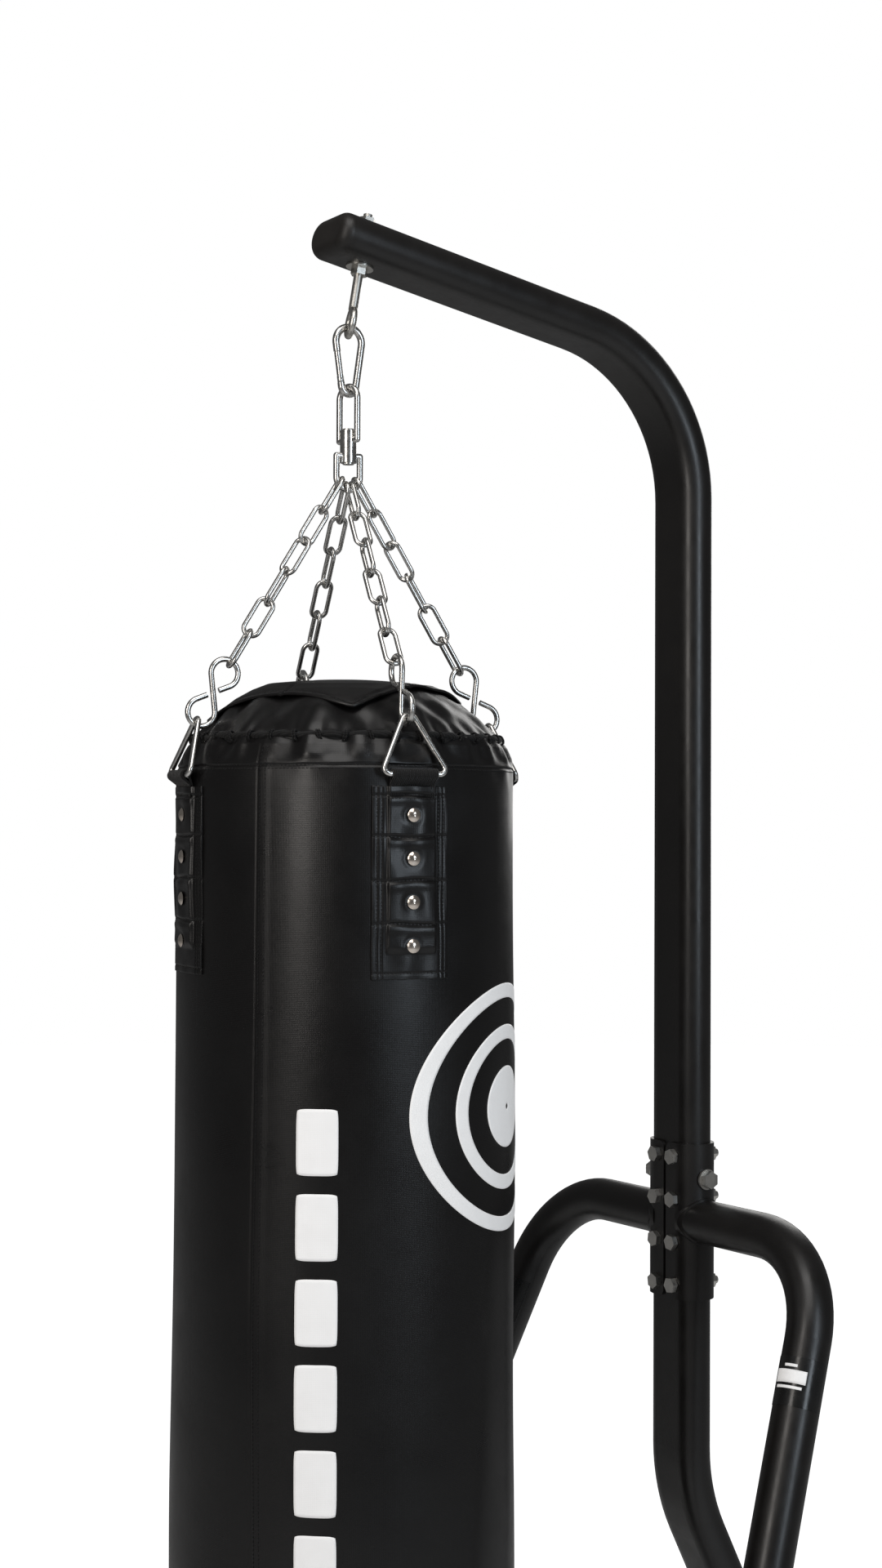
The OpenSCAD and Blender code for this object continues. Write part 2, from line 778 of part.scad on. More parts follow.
// From the loop's wire to the centre of the first link that hangs on it
function first_link(azimuth) = (link_len - link_wire) / 2
    - (in_loop_plane(azimuth) ? side_hang : mid_hang);
tail = (link_len - link_wire) / 2 - link_wire / 2 - s_wire / 2 - gap
    + s_centres + 2 * s_lobe - s_wire / 2 - ring_wire / 2 - gap;

function chain_length(azimuth) = norm(ring_tip - start_in_plane(azimuth));
function link_pitch(azimuth) = (chain_length(azimuth) - first_link(azimuth) - tail)
    / (link_count - 1);
function link_step(azimuth) = in_loop_plane(azimuth) ? 72 : 90;
function link_first_turn(azimuth) = in_loop_plane(azimuth) ? 90 : 0;

module chain_link() {
    r = (link_w - link_wire) / 2;
    s = (link_len - link_w) / 2;
    rotate([90, 0, 0]) {
        wire_arc([0, s], r, 0, 180, link_wire);
        wire_arc([0, -s], r, 180, 360, link_wire);
        for (k = [-1, 1])
            wire_rod([k * r, -s], [k * r, s], link_wire);
    }
}

module chain(azimuth) {
    color("#cdcbc6") for (i = [0 : link_count - 1])
        down_chain(azimuth, first_link(azimuth) + i * link_pitch(azimuth))
            rotate([0, 0, link_first_turn(azimuth) + i * link_step(azimuth)]) chain_link();
}

module s_hook(azimuth) {
    cross = asin(2 * s_lobe / s_centres);
    top = chain_length(azimuth) - tail + (link_len - link_wire) / 2 - link_wire / 2 - s_wire / 2 - gap;
    reach = sqrt(s_centres * s_centres / 4 - s_lobe * s_lobe);
    from = [s_lobe * cos(cross), s_centres / 2 - s_lobe * sin(cross)];
    to = [-from[0], from[1]];
    color("#d2d0cb") down_chain(azimuth, top + s_lobe + s_centres / 2) rotate([90, 0, 0]) {
        wire_line(-from, from, s_wire);
        for (k = [0, 180]) rotate([0, 0, k]) {
            wire_arc([0, s_centres / 2], s_lobe, -cross, 180 + cross, s_wire);
            wire_line(to * (1 - s_tail / reach), to, s_wire, [1]);
        }
    }
}

// Rounded corner of a wire triangle at b, between a and c
module wire_corner(a, b, c, r, d) {
    u = (a - b) / norm(a - b);
    v = (c - b) / norm(c - b);
    half = acos(u * v) / 2;
    m = (u + v) / norm(u + v);
    o = b + m * (r / sin(half));
    mid = atan2(-m[1], -m[0]);
    wire_arc(o, r, mid - 90 + half, mid + 90 - half, d);
}

function corner_cut(a, b, c, r) = r / tan(acos(((a - b) / norm(a - b)) * ((c - b) / norm(c - b))) / 2);

module triangle_ring(azimuth) {
    lean = atan2(ring_base_r - ring_tip_r, ring_tip_z - ring_base_z);
    tall = norm([ring_base_r - ring_tip_r, ring_tip_z - ring_base_z]);
    tip_r = 8;
    base_r = 6;
    apex_up = tip_r / sin(atan(ring_half_w / (tall + 12))) - tip_r;
    tip = [0, tall + apex_up];
    low = [[-ring_half_w, 0], [ring_half_w, 0]];
    tip_cut = corner_cut(low[0], tip, low[1], tip_r);
    low_cut = corner_cut(tip, low[0], low[1], base_r);
    color("#d2d0cb") on_bag(azimuth, 0) translate([ring_base_r, 0, ring_base_z])
        rotate([0, -lean, 0]) rotate([90, 0, 90]) {
            wire_corner(low[1], tip, low[0], tip_r, ring_wire);
            wire_corner(low[0], low[1], tip, base_r, ring_wire);
            wire_corner(tip, low[0], low[1], base_r, ring_wire);
            wire_line(low[0] + [low_cut, 0], low[1] - [low_cut, 0], ring_wire);
            for (p = low) {
                v = (tip - p) / norm(tip - p);
                wire_line(p + low_cut * v, tip - tip_cut * v, ring_wire);
            }
        }
}

module chain_front() { chain(0); }
module chain_right() { chain(90); }
module chain_back() { chain(180); }
module chain_left() { chain(270); }
module s_hook_front() { s_hook(0); }
module s_hook_right() { s_hook(90); }
module s_hook_back() { s_hook(180); }
module s_hook_left() { s_hook(270); }
module ring_front() { triangle_ring(0); }
module ring_right() { triangle_ring(90); }
module ring_back() { triangle_ring(180); }
module ring_left() { triangle_ring(270); }

// ---- Straps and patches ----

// Sector of a thin tube around the bag, w wide and h high, with its top at z
module wrap(azimuth, r0, r1, w, z, h) {
    on_bag(azimuth, z - h) intersection() {
        difference() {
            cylinder(r = r1, h = h, $fn = 180);
            translate([0, 0, -1]) cylinder(r = r0, h = h + 2, $fn = 180);
        }
        translate([0, -w / 2, 0]) cube([r1 + 10, w, h]);
    }
}

module webbing(azimuth) {
    bore = ring_wire + 0.5;
    low = patch_top - patch_h + 12;
    color("#0f0f10") difference() {
        union() {
            on_bag(azimuth, ring_base_z) translate([ring_base_r, strap_w / 2, 0]) rotate([90, 0, 0])
                cylinder(r = 6, h = strap_w);
            on_bag(azimuth, ring_base_z - 8) translate([strap_in + 0.2, -strap_w / 2, 0])
                cube([5, strap_w, 6]);
            wrap(azimuth, strap_in, strap_in + strap_t, strap_w, ring_base_z, ring_base_z - low);
        }
        on_bag(azimuth, ring_base_z) translate([ring_base_r, strap_w / 2 + 1, 0]) rotate([90, 0, 0])
            cylinder(d = bore, h = strap_w + 2);
    }
}

module patch(azimuth) {
    color("#121213") difference() {
        wrap(azimuth, bag_r + 0.1, patch_out, patch_w, patch_top, patch_h);
        wrap(azimuth, bag_r - 1, strap_in + strap_t + 0.1, strap_w + 0.6, patch_top + 1, patch_h - 10);
    }
}

module strap_front() { webbing(0); }
module strap_right() { webbing(90); }
module strap_back() { webbing(180); }
module strap_left() { webbing(270); }
module patch_front() { patch(0); }
module patch_right() { patch(90); }
module patch_back() { patch(180); }
module patch_left() { patch(270); }

module each_rivet() {
    for (azimuth = [0, 90, 180, 270])
        for (i = [0 : 3])
            on_bag(azimuth, rivet_first - i * rivet_pitch) rotate([0, 90, 0]) children();
}

module strap_rivets() {
    head_r = 10;
    color("#d8cfc0") each_rivet() {
        translate([0, 0, bag_r - 5.5]) cylinder(d = 5, h = 11, $fn = 48);
        translate([0, 0, patch_out + 0.05 + 2.8 - head_r]) intersection() {
            sphere(r = head_r, $fn = 48);
            translate([0, 0, head_r - 2.8]) cylinder(d = 14, h = 4, $fn = 48);
        }
    }
}

module rivet_burrs() {
    color("#b9b7b2") each_rivet() translate([0, 0, bag_r - 4.2]) ring_washer(12, 5.1, 1.2);
}

// ---- Bag ----

// Half outline of the bag's body, from the rounded foot to the tapered collar
module bag_outline(inset) {
    r = bag_r - inset;
    f = foot_r - inset;
    polygon([[0, bag_floor + inset], [r - f, bag_floor + inset], [r, bag_floor + foot_r],
        [r, patch_top], [r - 3, rim_z - 27], [rim_r - inset, rim_z], [0, rim_z]]);
    translate([r - f, bag_floor + foot_r]) circle(r = f);
}

// Half outline of the cap's underside or top, from the rim to the crown
module cap_outline(inset) {
    polygon([[0, rim_z + 0.2], [rim_r - inset, rim_z + 0.2], [rim_r - 4 - inset, rim_z + 9],
        [136 - inset, rim_z + 26 - inset], [106, rim_z + 48 - inset], [92, rim_z + 54 - inset],
        [0, rim_z + 59 - inset]]);
}

module bag_shell() {
    color("#161617") translate([0, bag_y, 0]) rotate_extrude($fn = 180) difference() {
        bag_outline(0);
        bag_outline(skin);
        square([bottom_r, bag_floor + skin + 1]);
        translate([0, rim_z - 1]) square([rim_r - skin, 2]);
    }
}

module bag_bottom() {
    color("#131314") translate([0, bag_y, bag_floor]) cylinder(r = bottom_r - 0.2, h = skin, $fn = 180);
}

module top_cap() {
    color("#19191a") translate([0, bag_y, 0]) rotate_extrude($fn = 180) difference() {
        cap_outline(0);
        cap_outline(skin);
        translate([0, rim_z]) square([rim_r - skin, 1]);
    }
}

module filling() {
    color("#6f6a60") translate([0, bag_y, 0]) rotate_extrude($fn = 180) {
        bag_outline(skin + 0.2);
        translate([0, rim_z - 5]) square([rim_r - skin - 3, 6]);
        cap_outline(skin + 0.2);
    }
}

module rim_cord() {
    color("#0f0f10") translate([0, bag_y, rim_z]) rotate_extrude($fn = 180)
        translate([cord_r, 0]) circle(d = cord_d, $fn = 48);
}

// Whip turns around the rim cord, carried by a strand that runs inside them
module lacing_cord() {
    lace_d = 1.8;
    turn_r = cord_d / 2 + lace_d / 2 + 0.1;
    color("#0c0c0d") translate([0, bag_y, rim_z]) {
        for (i = [0 : lacing_turns - 1])
            rotate([0, 0, (i + 0.5) * 360 / lacing_turns]) translate([cord_r, 0, 0])
                rotate([90, 0, 0]) rotate_extrude($fn = 36)
                    translate([turn_r, 0]) circle(d = lace_d, $fn = 24);
        translate([0, 0, turn_r]) rotate_extrude($fn = 180)
            translate([cord_r, 0]) circle(d = lace_d * 0.8, $fn = 24);
    }
}

// ---- Printed film on the bag ----

target_azimuth = 135;
target_z = rim_z - 383;
bars_azimuth = 60;
bars_top = rim_z - 373;
bar_count = 12;

module film(azimuth, z) {
    on_bag(azimuth, z) intersection() {
        translate([0, 0, -150]) difference() {
            cylinder(r = print_out, h = 300, $fn = 180);
            translate([0, 0, -1]) cylinder(r = print_in, h = 302, $fn = 180);
        }
        rotate([0, 90, 0]) translate([0, 0, 60]) children();
    }
}

module print_target() {
    color("#ece9e6") {
        for (d = [256, 170])
            film(target_azimuth, target_z) difference() {
                cylinder(d = d, h = 140);
                translate([0, 0, -1]) cylinder(d = d - 30, h = 142);
            }
        film(target_azimuth, target_z) cylinder(d = 84, h = 140);
    }
}

module print_bars() {
    color("#ece9e6") for (i = [0 : bar_count - 1])
        wrap(bars_azimuth, print_in, print_out, 42, bars_top - i * 84, 66);
}

upper_mast();
arm_end_cap();
lower_mast();
rear_end_cap();
clamp_right();
clamp_left();
leg_right();
leg_left();
leg_welds();
leg_end_caps();
rubber_feet();
weight_pegs();
clamp_bolts();
clamp_nuts();
cross_bolt();
cross_bolt_washers();
cross_bolt_nut();
leg_labels();
eye_bolt();
eye_bolt_washers();
eye_bolt_nuts();
snap_hook();
snap_gate();
gate_pin();
gate_spring();
swivel_top_loop();
swivel_top_barrel();
swivel_pin();
swivel_bottom_barrel();
swivel_bottom_loop();
chain_front();
chain_right();
chain_back();
chain_left();
s_hook_front();
s_hook_right();
s_hook_back();
s_hook_left();
ring_front();
ring_right();
ring_back();
ring_left();
strap_front();
strap_right();
strap_back();
strap_left();
patch_front();
patch_right();
patch_back();
patch_left();
strap_rivets();
rivet_burrs();
bag_shell();
bag_bottom();
top_cap();
rim_cord();
lacing_cord();
filling();
print_target();
print_bars();
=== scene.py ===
import json
from math import atan2, cos, degrees, pi, radians, sin

import bpy
import numpy as np
from mathutils import Matrix, Vector


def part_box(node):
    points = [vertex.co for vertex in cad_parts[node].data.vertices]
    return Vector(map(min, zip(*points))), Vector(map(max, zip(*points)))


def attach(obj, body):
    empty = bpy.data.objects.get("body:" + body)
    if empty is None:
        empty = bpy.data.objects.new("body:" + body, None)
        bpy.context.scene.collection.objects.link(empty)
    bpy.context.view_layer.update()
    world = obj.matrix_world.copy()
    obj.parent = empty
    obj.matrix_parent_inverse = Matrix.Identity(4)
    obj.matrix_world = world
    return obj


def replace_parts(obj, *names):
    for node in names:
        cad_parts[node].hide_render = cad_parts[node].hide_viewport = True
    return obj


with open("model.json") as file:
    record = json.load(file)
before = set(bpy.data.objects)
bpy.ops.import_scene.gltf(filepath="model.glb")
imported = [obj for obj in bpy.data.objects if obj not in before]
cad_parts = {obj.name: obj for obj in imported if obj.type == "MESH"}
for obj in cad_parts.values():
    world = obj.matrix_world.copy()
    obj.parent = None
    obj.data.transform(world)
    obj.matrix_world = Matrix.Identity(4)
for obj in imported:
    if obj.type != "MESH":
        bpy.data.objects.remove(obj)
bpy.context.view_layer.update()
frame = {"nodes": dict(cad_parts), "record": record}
MM = 0.001
UP = np.array([0, 0, 1])
rng = np.random.default_rng(7)

# ---- Places, taken from the frame ----

shell_low, shell_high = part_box("bag_shell")
BAG_X = (shell_low.x + shell_high.x) / 2
BAG_Y = (shell_low.y + shell_high.y) / 2
BAG_R = (shell_high.x - shell_low.x) / 2
FLOOR_Z = shell_low.z
RIM_Z = shell_high.z
cord_low, cord_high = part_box("rim_cord")
CORD_R = (cord_high.z - cord_low.z) / 2
RIM_CORD_R = (cord_high.x - cord_low.x) / 2 - CORD_R
CAP_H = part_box("top_cap")[1].z - RIM_Z
HEM_Z = RIM_Z - 31 * MM      # the sewn seam between wall and collar
SIDES = ("front", "right", "back", "left")


def azimuth_of(node):
    """Azimuth of a node round the bag's axis: 0 is the front (-Y), 90 the right (+X)."""
    low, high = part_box(node)
    middle = (low + high) / 2
    return degrees(atan2(middle.x - BAG_X, -(middle.y - BAG_Y)))


PATCH_AZ = {side: azimuth_of("ring_" + side) for side in SIDES}
patch_low, patch_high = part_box("patch_right")
PATCH_TOP = patch_high.z
PATCH_LOW = patch_low.z
PATCH_W = 83 * MM
PATCH_R = BAG_R + 4.5 * MM
RIVETS = 4
RIVET_TOP = PATCH_TOP - 29 * MM
RIVET_PITCH = 43.6 * MM
LACES = 40
SEAM_AZ = PATCH_AZ["right"] - 51.6      # the wall's upright seam


def around(az, radius, z):
    """Points on the bag: azimuth in degrees, radius and height in metres; arrays broadcast."""
    az, radius, z = np.broadcast_arrays(np.radians(az), radius, z)
    return np.stack([BAG_X + radius * np.sin(az), BAG_Y - radius * np.cos(az), z], -1)


def outward_at(az):
    """Unit vectors that point straight out of the bag's side."""
    return around(az, 1.0, 0) - around(az, 0.0, 0)


def angle_from(az, middle):
    """Signed degrees from one azimuth to another, -180 to 180."""
    return (az - middle + 180) % 360 - 180


def dip(offset, width):
    """Bell curve: 1 at offset 0, fading over the width."""
    return np.exp(-(offset / width) ** 2)


def smooth_step(x):
    x = np.clip(x, 0, 1)
    return x * x * (3 - 2 * x)


# ---- Mesh helpers ----

def mesh_object(name, verts, faces, material, body, slot, uv=None):
    """New smooth mesh from arrays; uv is one pair for each vertex, in metres of cloth."""
    mesh = bpy.data.meshes.new(name)
    mesh.from_pydata(np.asarray(verts).tolist(), [], [tuple(f) for f in faces])
    mesh.polygons.foreach_set("use_smooth", [True] * len(mesh.polygons))
    if uv is not None:
        layer = mesh.uv_layers.new(name="cloth")
        index = np.zeros(len(mesh.loops), np.int32)
        mesh.loops.foreach_get("vertex_index", index)
        layer.data.foreach_set("uv", np.asarray(uv)[index].astype(np.float32).ravel())
    mesh.materials.append(material)
    mesh.validate()
    mesh.update()
    thing = bpy.data.objects.new(name, mesh)
    bpy.context.scene.collection.objects.link(thing)
    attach(thing, body)
    return thing


def quads(rows, cols, wrap=False, start=0, flip=False):
    """Faces of a grid of points stored row by row."""
    found = []
    for r in range(rows - 1):
        for c in range(cols if wrap else cols - 1):
            n = (c + 1) % cols
            face = (start + r * cols + c, start + r * cols + n,
                    start + (r + 1) * cols + n, start + (r + 1) * cols + c)
            found.append(face[::-1] if flip else face)
    return found


def slab(top, bottom):
    """Closed solid between two grids of points of the same size, the top one facing out."""
    rows, cols = top.shape[:2]
    count = rows * cols
    faces = quads(rows, cols) + quads(rows, cols, start=count, flip=True)
    edge = list(range(cols))
    edge += [r * cols + cols - 1 for r in range(1, rows)]
    edge += [(rows - 1) * cols + c for c in range(cols - 2, -1, -1)]
    edge += [r * cols for r in range(rows - 2, 0, -1)]
    for a, b in zip(edge, edge[1:] + edge[:1]):
        faces.append((b, a, a + count, b + count))
    return np.vstack([top.reshape(-1, 3), bottom.reshape(-1, 3)]), faces


def ring_slab(top, bottom):
    """As slab, for grids whose columns close on themselves."""
    rows, cols = top.shape[:2]
    count = rows * cols
    faces = quads(rows, cols, True) + quads(rows, cols, True, count, True)
    for c in range(cols):
        n = (c + 1) % cols
        faces.append((n, c, c + count, n + count))
        last = (rows - 1) * cols
        faces.append((last + c, last + n, last + n + count, last + c + count))
    return np.vstack([top.reshape(-1, 3), bottom.reshape(-1, 3)]), faces


def tube(path, radius, sides, closed=False, up=UP):
    """Vertices and faces of a tube along a path of points; radius is a number or one for each."""
    path = np.asarray(path, float)
    count = len(path)
    radius = np.broadcast_to(radius, count)
    if closed:
        tangent = np.roll(path, -1, 0) - np.roll(path, 1, 0)
    else:
        tangent = np.gradient(path, axis=0)
    tangent /= np.linalg.norm(tangent, axis=1)[:, None]
    side = np.cross(tangent, np.asarray(up, float))
    side /= np.linalg.norm(side, axis=1)[:, None]
    normal = np.cross(side, tangent)
    turn = np.linspace(0, 2 * pi, sides, endpoint=False)
    spokes = (np.cos(turn)[None, :, None] * side[:, None]
              + np.sin(turn)[None, :, None] * normal[:, None])
    rings = path[:, None] + radius[:, None, None] * spokes
    faces = quads(count, sides, True)
    last = (count - 1) * sides
    if closed:
        faces += [(last + s, last + (s + 1) % sides, (s + 1) % sides, s) for s in range(sides)]
    else:
        faces += [tuple(range(sides - 1, -1, -1)), tuple(last + s for s in range(sides))]
    return rings.reshape(-1, 3), faces


def joined(parts):
    """One vertex array and face list from several."""
    verts, faces, start = [], [], 0
    for v, f in parts:
        verts.append(v)
        faces += [tuple(i + start for i in face) for face in f]
        start += len(v)
    return np.vstack(verts), faces


def stitches(path, outward, pitch=4.2 * MM, length=3.3 * MM, thick=0.45 * MM):
    """Tubes for thread stitches along a path: each rises out of the cloth and dives back in."""
    path, outward = np.asarray(path, float), np.asarray(outward, float)
    run = np.concatenate([[0], np.cumsum(np.linalg.norm(np.diff(path, axis=0), axis=1))])
    parts = []
    for i in range(int(run[-1] / pitch)):
        at = np.linspace(i * pitch, i * pitch + length, 5)
        spine = np.stack([np.interp(at, run, path[:, k]) for k in range(3)], 1)
        lift = np.stack([np.interp(at, run, outward[:, k]) for k in range(3)], 1)
        lift /= np.linalg.norm(lift, axis=1)[:, None]
        rise = thick * np.array([-0.9, 0.15, 0.45, 0.15, -0.9])
        spine += lift * rise[:, None]
        parts.append(tube(spine, thick * np.array([0.6, 1, 1, 1, 0.6]), 6, up=lift[2]))
    return parts


# ---- Shape of the stuffed bag ----

def wave_table(count, turns, climb, height):
    """Random waves: whole turns round the bag, radians per metre up, height and phase."""
    return [(int(n), k, a, p) for n, k, a, p in zip(
        rng.integers(*turns, count), rng.uniform(-climb, climb, count),
        rng.uniform(*height, count), rng.uniform(0, 2 * pi, count))]


def waves(table, az, z):
    turn = np.radians(az)
    return sum(a * np.sin(n * turn + k * z + p) for n, k, a, p in table)


WAVES = wave_table(14, (1, 6), 14, (0.2, 0.7))      # broad unevenness of the stuffing
FINE = wave_table(16, (9, 34), 60, (0.3, 1.0))      # fine puckers
PULL = rng.uniform(0.45, 1.0, LACES)                # how hard each lacing turn pulls
LEAN = rng.uniform(-0.35, 0.35, LACES)              # and how far its pucker leans
SLACK = wave_table(8, (6, 19), 20, (0.2, 0.5))      # loose collar between turns
FOLDS = wave_table(12, (5, 22), 3, (0.25, 0.7))     # long folds of the cap

# Outer radius of the wall at each height, and the cap's rise above the rim at each radius.
WALL_Z = [FLOOR_Z, FLOOR_Z + 0.3, 0.9, 1.3, PATCH_TOP, HEM_Z, RIM_Z - 9 * MM, RIM_Z]
WALL_R = np.array([181, 182.4, 182.6, 180.8, 178.4, 177.6, 170.5, 165.0]) * MM
CAP_R = np.array([0, 60, 92, 106, 122, 136, 150, 157, 162, 166]) * MM
CAP_RISE = np.array([57, 56.5, 53, 47, 37.5, 26.5, 14, 7.5, 3.5, 1.5]) * (CAP_H / 59)
CAP_EDGE = 165.5 * MM
FOOT_R = 26 * MM         # rounding at the bag's foot
HOOK_DENT_R = 147 * MM   # where the S hooks press on the cap


def pinch(az, z):
    """How hard the nearest lacing turn pulls at a point: 1 at the turn, 0 midway."""
    step = 360 / LACES
    place = np.asarray(az) / step - 0.5
    near = np.round(place).astype(int)
    off = place - near - LEAN[near % LACES] * np.clip((RIM_Z - z) / (RIM_Z - HEM_Z), 0, 2) * 0.6
    return PULL[near % LACES] * dip(off, 0.27)


def wall_radius(az, z):
    """Outer radius of the bag's wall, in metres: taut over the stuffing, puckered at the collar."""
    az, z = np.broadcast_arrays(np.asarray(az, float), np.asarray(z, float))
    above, below = z - HEM_Z, RIM_Z - z
    foot = np.clip((FLOOR_Z + FOOT_R - z) / FOOT_R, 0, 1)
    shape = np.interp(z, WALL_Z, WALL_R) - FOOT_R * (1 - np.sqrt(np.clip(1 - foot ** 2, 0, 1)))
    body = smooth_step((z - FLOOR_Z - 20 * MM) / (100 * MM)) * smooth_step(below / (20 * MM))
    shape += MM * waves(WAVES, az, z) * body
    # Collar: pulled in at the lacing turns, slack between them, finely puckered
    collar = smooth_step((above + 4 * MM) / (RIM_Z - HEM_Z))
    shape -= 2.5 * MM * pinch(az, z) * collar
    shape += 1.6 * MM * waves(SLACK, az, z * 0.5) * collar
    shape += 0.62 * MM * waves(FINE, az, z) * smooth_step(above / (12 * MM))
    shape += 0.30 * MM * waves(FINE, az, z * 0.35) * dip(above, 17 * MM) * (above < 0)
    # Its seam: a groove, and the hem's fold above it
    shape -= 1.5 * MM * dip(above, 1.3 * MM)
    shape += 0.9 * MM * smooth_step(above / (1.5 * MM)) * smooth_step(below / (22 * MM))
    # Upright seam: a groove, and the overlap beside it
    off = angle_from(az, SEAM_AZ)
    shape -= 1.1 * MM * dip(off, 0.28) * smooth_step(below / (20 * MM))
    overlap = smooth_step(off / 0.5) * smooth_step((5.5 - off) / 3)
    shape += 0.7 * MM * overlap * smooth_step(below / (30 * MM))
    return shape


def cap_height(r):
    """Height of the smooth cap above the rim at a radius, in metres."""
    return np.interp(r, CAP_R, CAP_RISE)


def cap_point(az, share):
    """Point of the cap: share runs from 0 at the rim to 1 at the crown."""
    az, share = np.broadcast_arrays(np.asarray(az, float), np.asarray(share, float))
    r = CAP_EDGE * (1 - share)
    height = cap_height(r)
    edge = np.clip(r / CAP_EDGE, 0, 1)
    fold = smooth_step((edge - 0.5) / 0.4)
    long_folds = waves(FOLDS, az + 26 * share, share * 2)
    height = height + 1.9 * MM * long_folds * fold * smooth_step((1 - edge) / 0.08 + 0.15)
    height = height - 3.2 * MM * pinch(az + 7 * share, RIM_Z) * smooth_step((edge - 0.8) / 0.2)
    for middle in PATCH_AZ.values():
        off = angle_from(az, middle)
        height = height - 3.0 * MM * dip(off, 6) * dip(r - HOOK_DENT_R, 11 * MM)
    r = r - 1.4 * MM * pinch(az, RIM_Z) * smooth_step((edge - 0.85) / 0.15)
    r = r + 0.5 * MM * waves(FINE, az, share * 0.6) * fold
    return around(az, r, RIM_Z + height)


# ---- Material helpers ----

VINYL_WEAVE = 1.3 * MM


class Surface:
    """A principled material with its node tree, built up one feature at a time."""

    def __init__(self, name, **inputs):
        self.material = bpy.data.materials.new(name)
        self.material.use_nodes = True
        self.tree = self.material.node_tree
        self.shader = self.tree.nodes["Principled BSDF"]
        for key, value in inputs.items():
            is_colour = isinstance(value, tuple) and len(value) == 3
            socket = self.shader.inputs[key.replace("_", " ")]
            socket.default_value = (*value, 1) if is_colour else value

    def node(self, kind, links=None, **values):
        made = self.tree.nodes.new(kind)
        for key, value in values.items():
            if key.startswith("p_"):
                setattr(made, key[2:], value)
            else:
                made.inputs[key.replace("_", " ")].default_value = value
        for key, source in (links or {}).items():
            self.tree.links.new(source, made.inputs[key])
        return made

    def where(self, kind="Object"):
        return self.node("ShaderNodeTexCoord").outputs[kind]

    def noise(self, scale, detail=4, rough=0.55):
        """Noise in object space; scale is in cells per metre."""
        return self.node("ShaderNodeTexNoise", {"Vector": self.where()}, Scale=scale,
                         Detail=detail, Roughness=rough).outputs["Fac"]

    def wave(self, period, direction, at, distortion):
        """Bands with a period in metres."""
        return self.node("ShaderNodeTexWave", {"Vector": at}, p_bands_direction=direction,
                         Scale=2 * pi / (20 * period), Distortion=distortion).outputs["Fac"]

    def math(self, kind, a, b):
        made = self.node("ShaderNodeMath", p_operation=kind)
        for socket, value in zip(made.inputs, (a, b)):
            if hasattr(value, "is_linked"):
                self.tree.links.new(value, socket)
            else:
                socket.default_value = value
        return made.outputs[0]

    def spread(self, source, low, high, start=0.3, end=0.7):
        """Maps a 0..1 source to low..high."""
        return self.node("ShaderNodeMapRange", {"Value": source}, From_Min=start, From_Max=end,
                         To_Min=low, To_Max=high).outputs[0]

    def colour(self, source, low, high, start=0.3, end=0.7):
        ramp = self.node("ShaderNodeValToRGB", {"Fac": source})
        ramp.color_ramp.elements[0].position = start
        ramp.color_ramp.elements[1].position = end
        ramp.color_ramp.elements[0].color = (*low, 1)
        ramp.color_ramp.elements[1].color = (*high, 1)
        self.tree.links.new(ramp.outputs[0], self.shader.inputs["Base Color"])

    def roughness(self, source):
        self.tree.links.new(source, self.shader.inputs["Roughness"])

    def bumps(self, *layers):
        """Each layer is (height source, distance in metres, strength)."""
        normal = None
        for height, distance, strength in layers:
            links = {"Height": height}
            if normal:
                links["Normal"] = normal
            bump = self.node("ShaderNodeBump", links, Distance=distance, Strength=strength)
            normal = bump.outputs[0]
        self.tree.links.new(normal, self.shader.inputs["Normal"])


def powder_coat(name, low, high, gloss):
    s = Surface(name, Specular_IOR_Level=0.5, Coat_Weight=0.12, Coat_Roughness=0.22)
    s.colour(s.noise(7, 3), low, high)
    s.roughness(s.spread(s.noise(38, 4), gloss - 0.05, gloss + 0.07))
    s.bumps((s.noise(420, 2, 0.5), 0.0006, 0.16), (s.noise(2300, 2, 0.6), 0.0002, 0.10))
    return s.material


def bright_metal(name, low, high, gloss):
    s = Surface(name, Metallic=1.0, Specular_IOR_Level=0.5)
    s.colour(s.noise(60, 5), low, high)
    s.roughness(s.spread(s.noise(240, 4, 0.6), gloss, gloss + 0.12))
    s.bumps((s.noise(90, 3), 0.0012, 0.12), (s.noise(900, 3, 0.7), 0.0002, 0.18))
    return s.material


def coated_cloth(name, low, high, gloss):
    """PVC on a woven base: fine crossed grain, soft broad dents, worn gloss."""
    s = Surface(name, Specular_IOR_Level=0.38, Coat_Weight=0.12, Coat_Roughness=0.18)
    cloth = s.where("UV")
    over = s.wave(VINYL_WEAVE, "X", cloth, 0.4)
    under = s.wave(VINYL_WEAVE, "Y", cloth, 0.4)
    grain = s.math("MULTIPLY", over, under)
    s.colour(s.noise(5, 4), low, high)
    patchy = s.noise(11, 5, 0.6)
    s.roughness(s.spread(patchy, gloss - 0.05, gloss + 0.11))
    s.bumps((s.noise(9, 3, 0.5), 0.004, 0.22), (s.noise(46, 4, 0.6), 0.0012, 0.12),
            (grain, 0.00025, 0.30))
    return s.material


def woven(name, base, rib, direction):
    s = Surface(name, Sheen_Weight=0.12, Sheen_Roughness=0.45, Specular_IOR_Level=0.3)
    cloth = s.where("UV")
    ribs = s.wave(rib, direction, cloth, 0.6)
    cross = s.wave(rib * 0.7, "Y" if direction == "X" else "X", cloth, 0.8)
    # The colour follows the ribs: darker in their troughs, which is painted shade in the grooves.
    s.colour(ribs, tuple(c * 0.45 for c in base), base, 0.1, 0.8)
    s.roughness(s.spread(s.noise(300), 0.72, 0.92))
    s.bumps((ribs, 0.0009, 0.8), (cross, 0.0003, 0.4), (s.noise(2500, 2), 0.0002, 0.3))
    return s.material


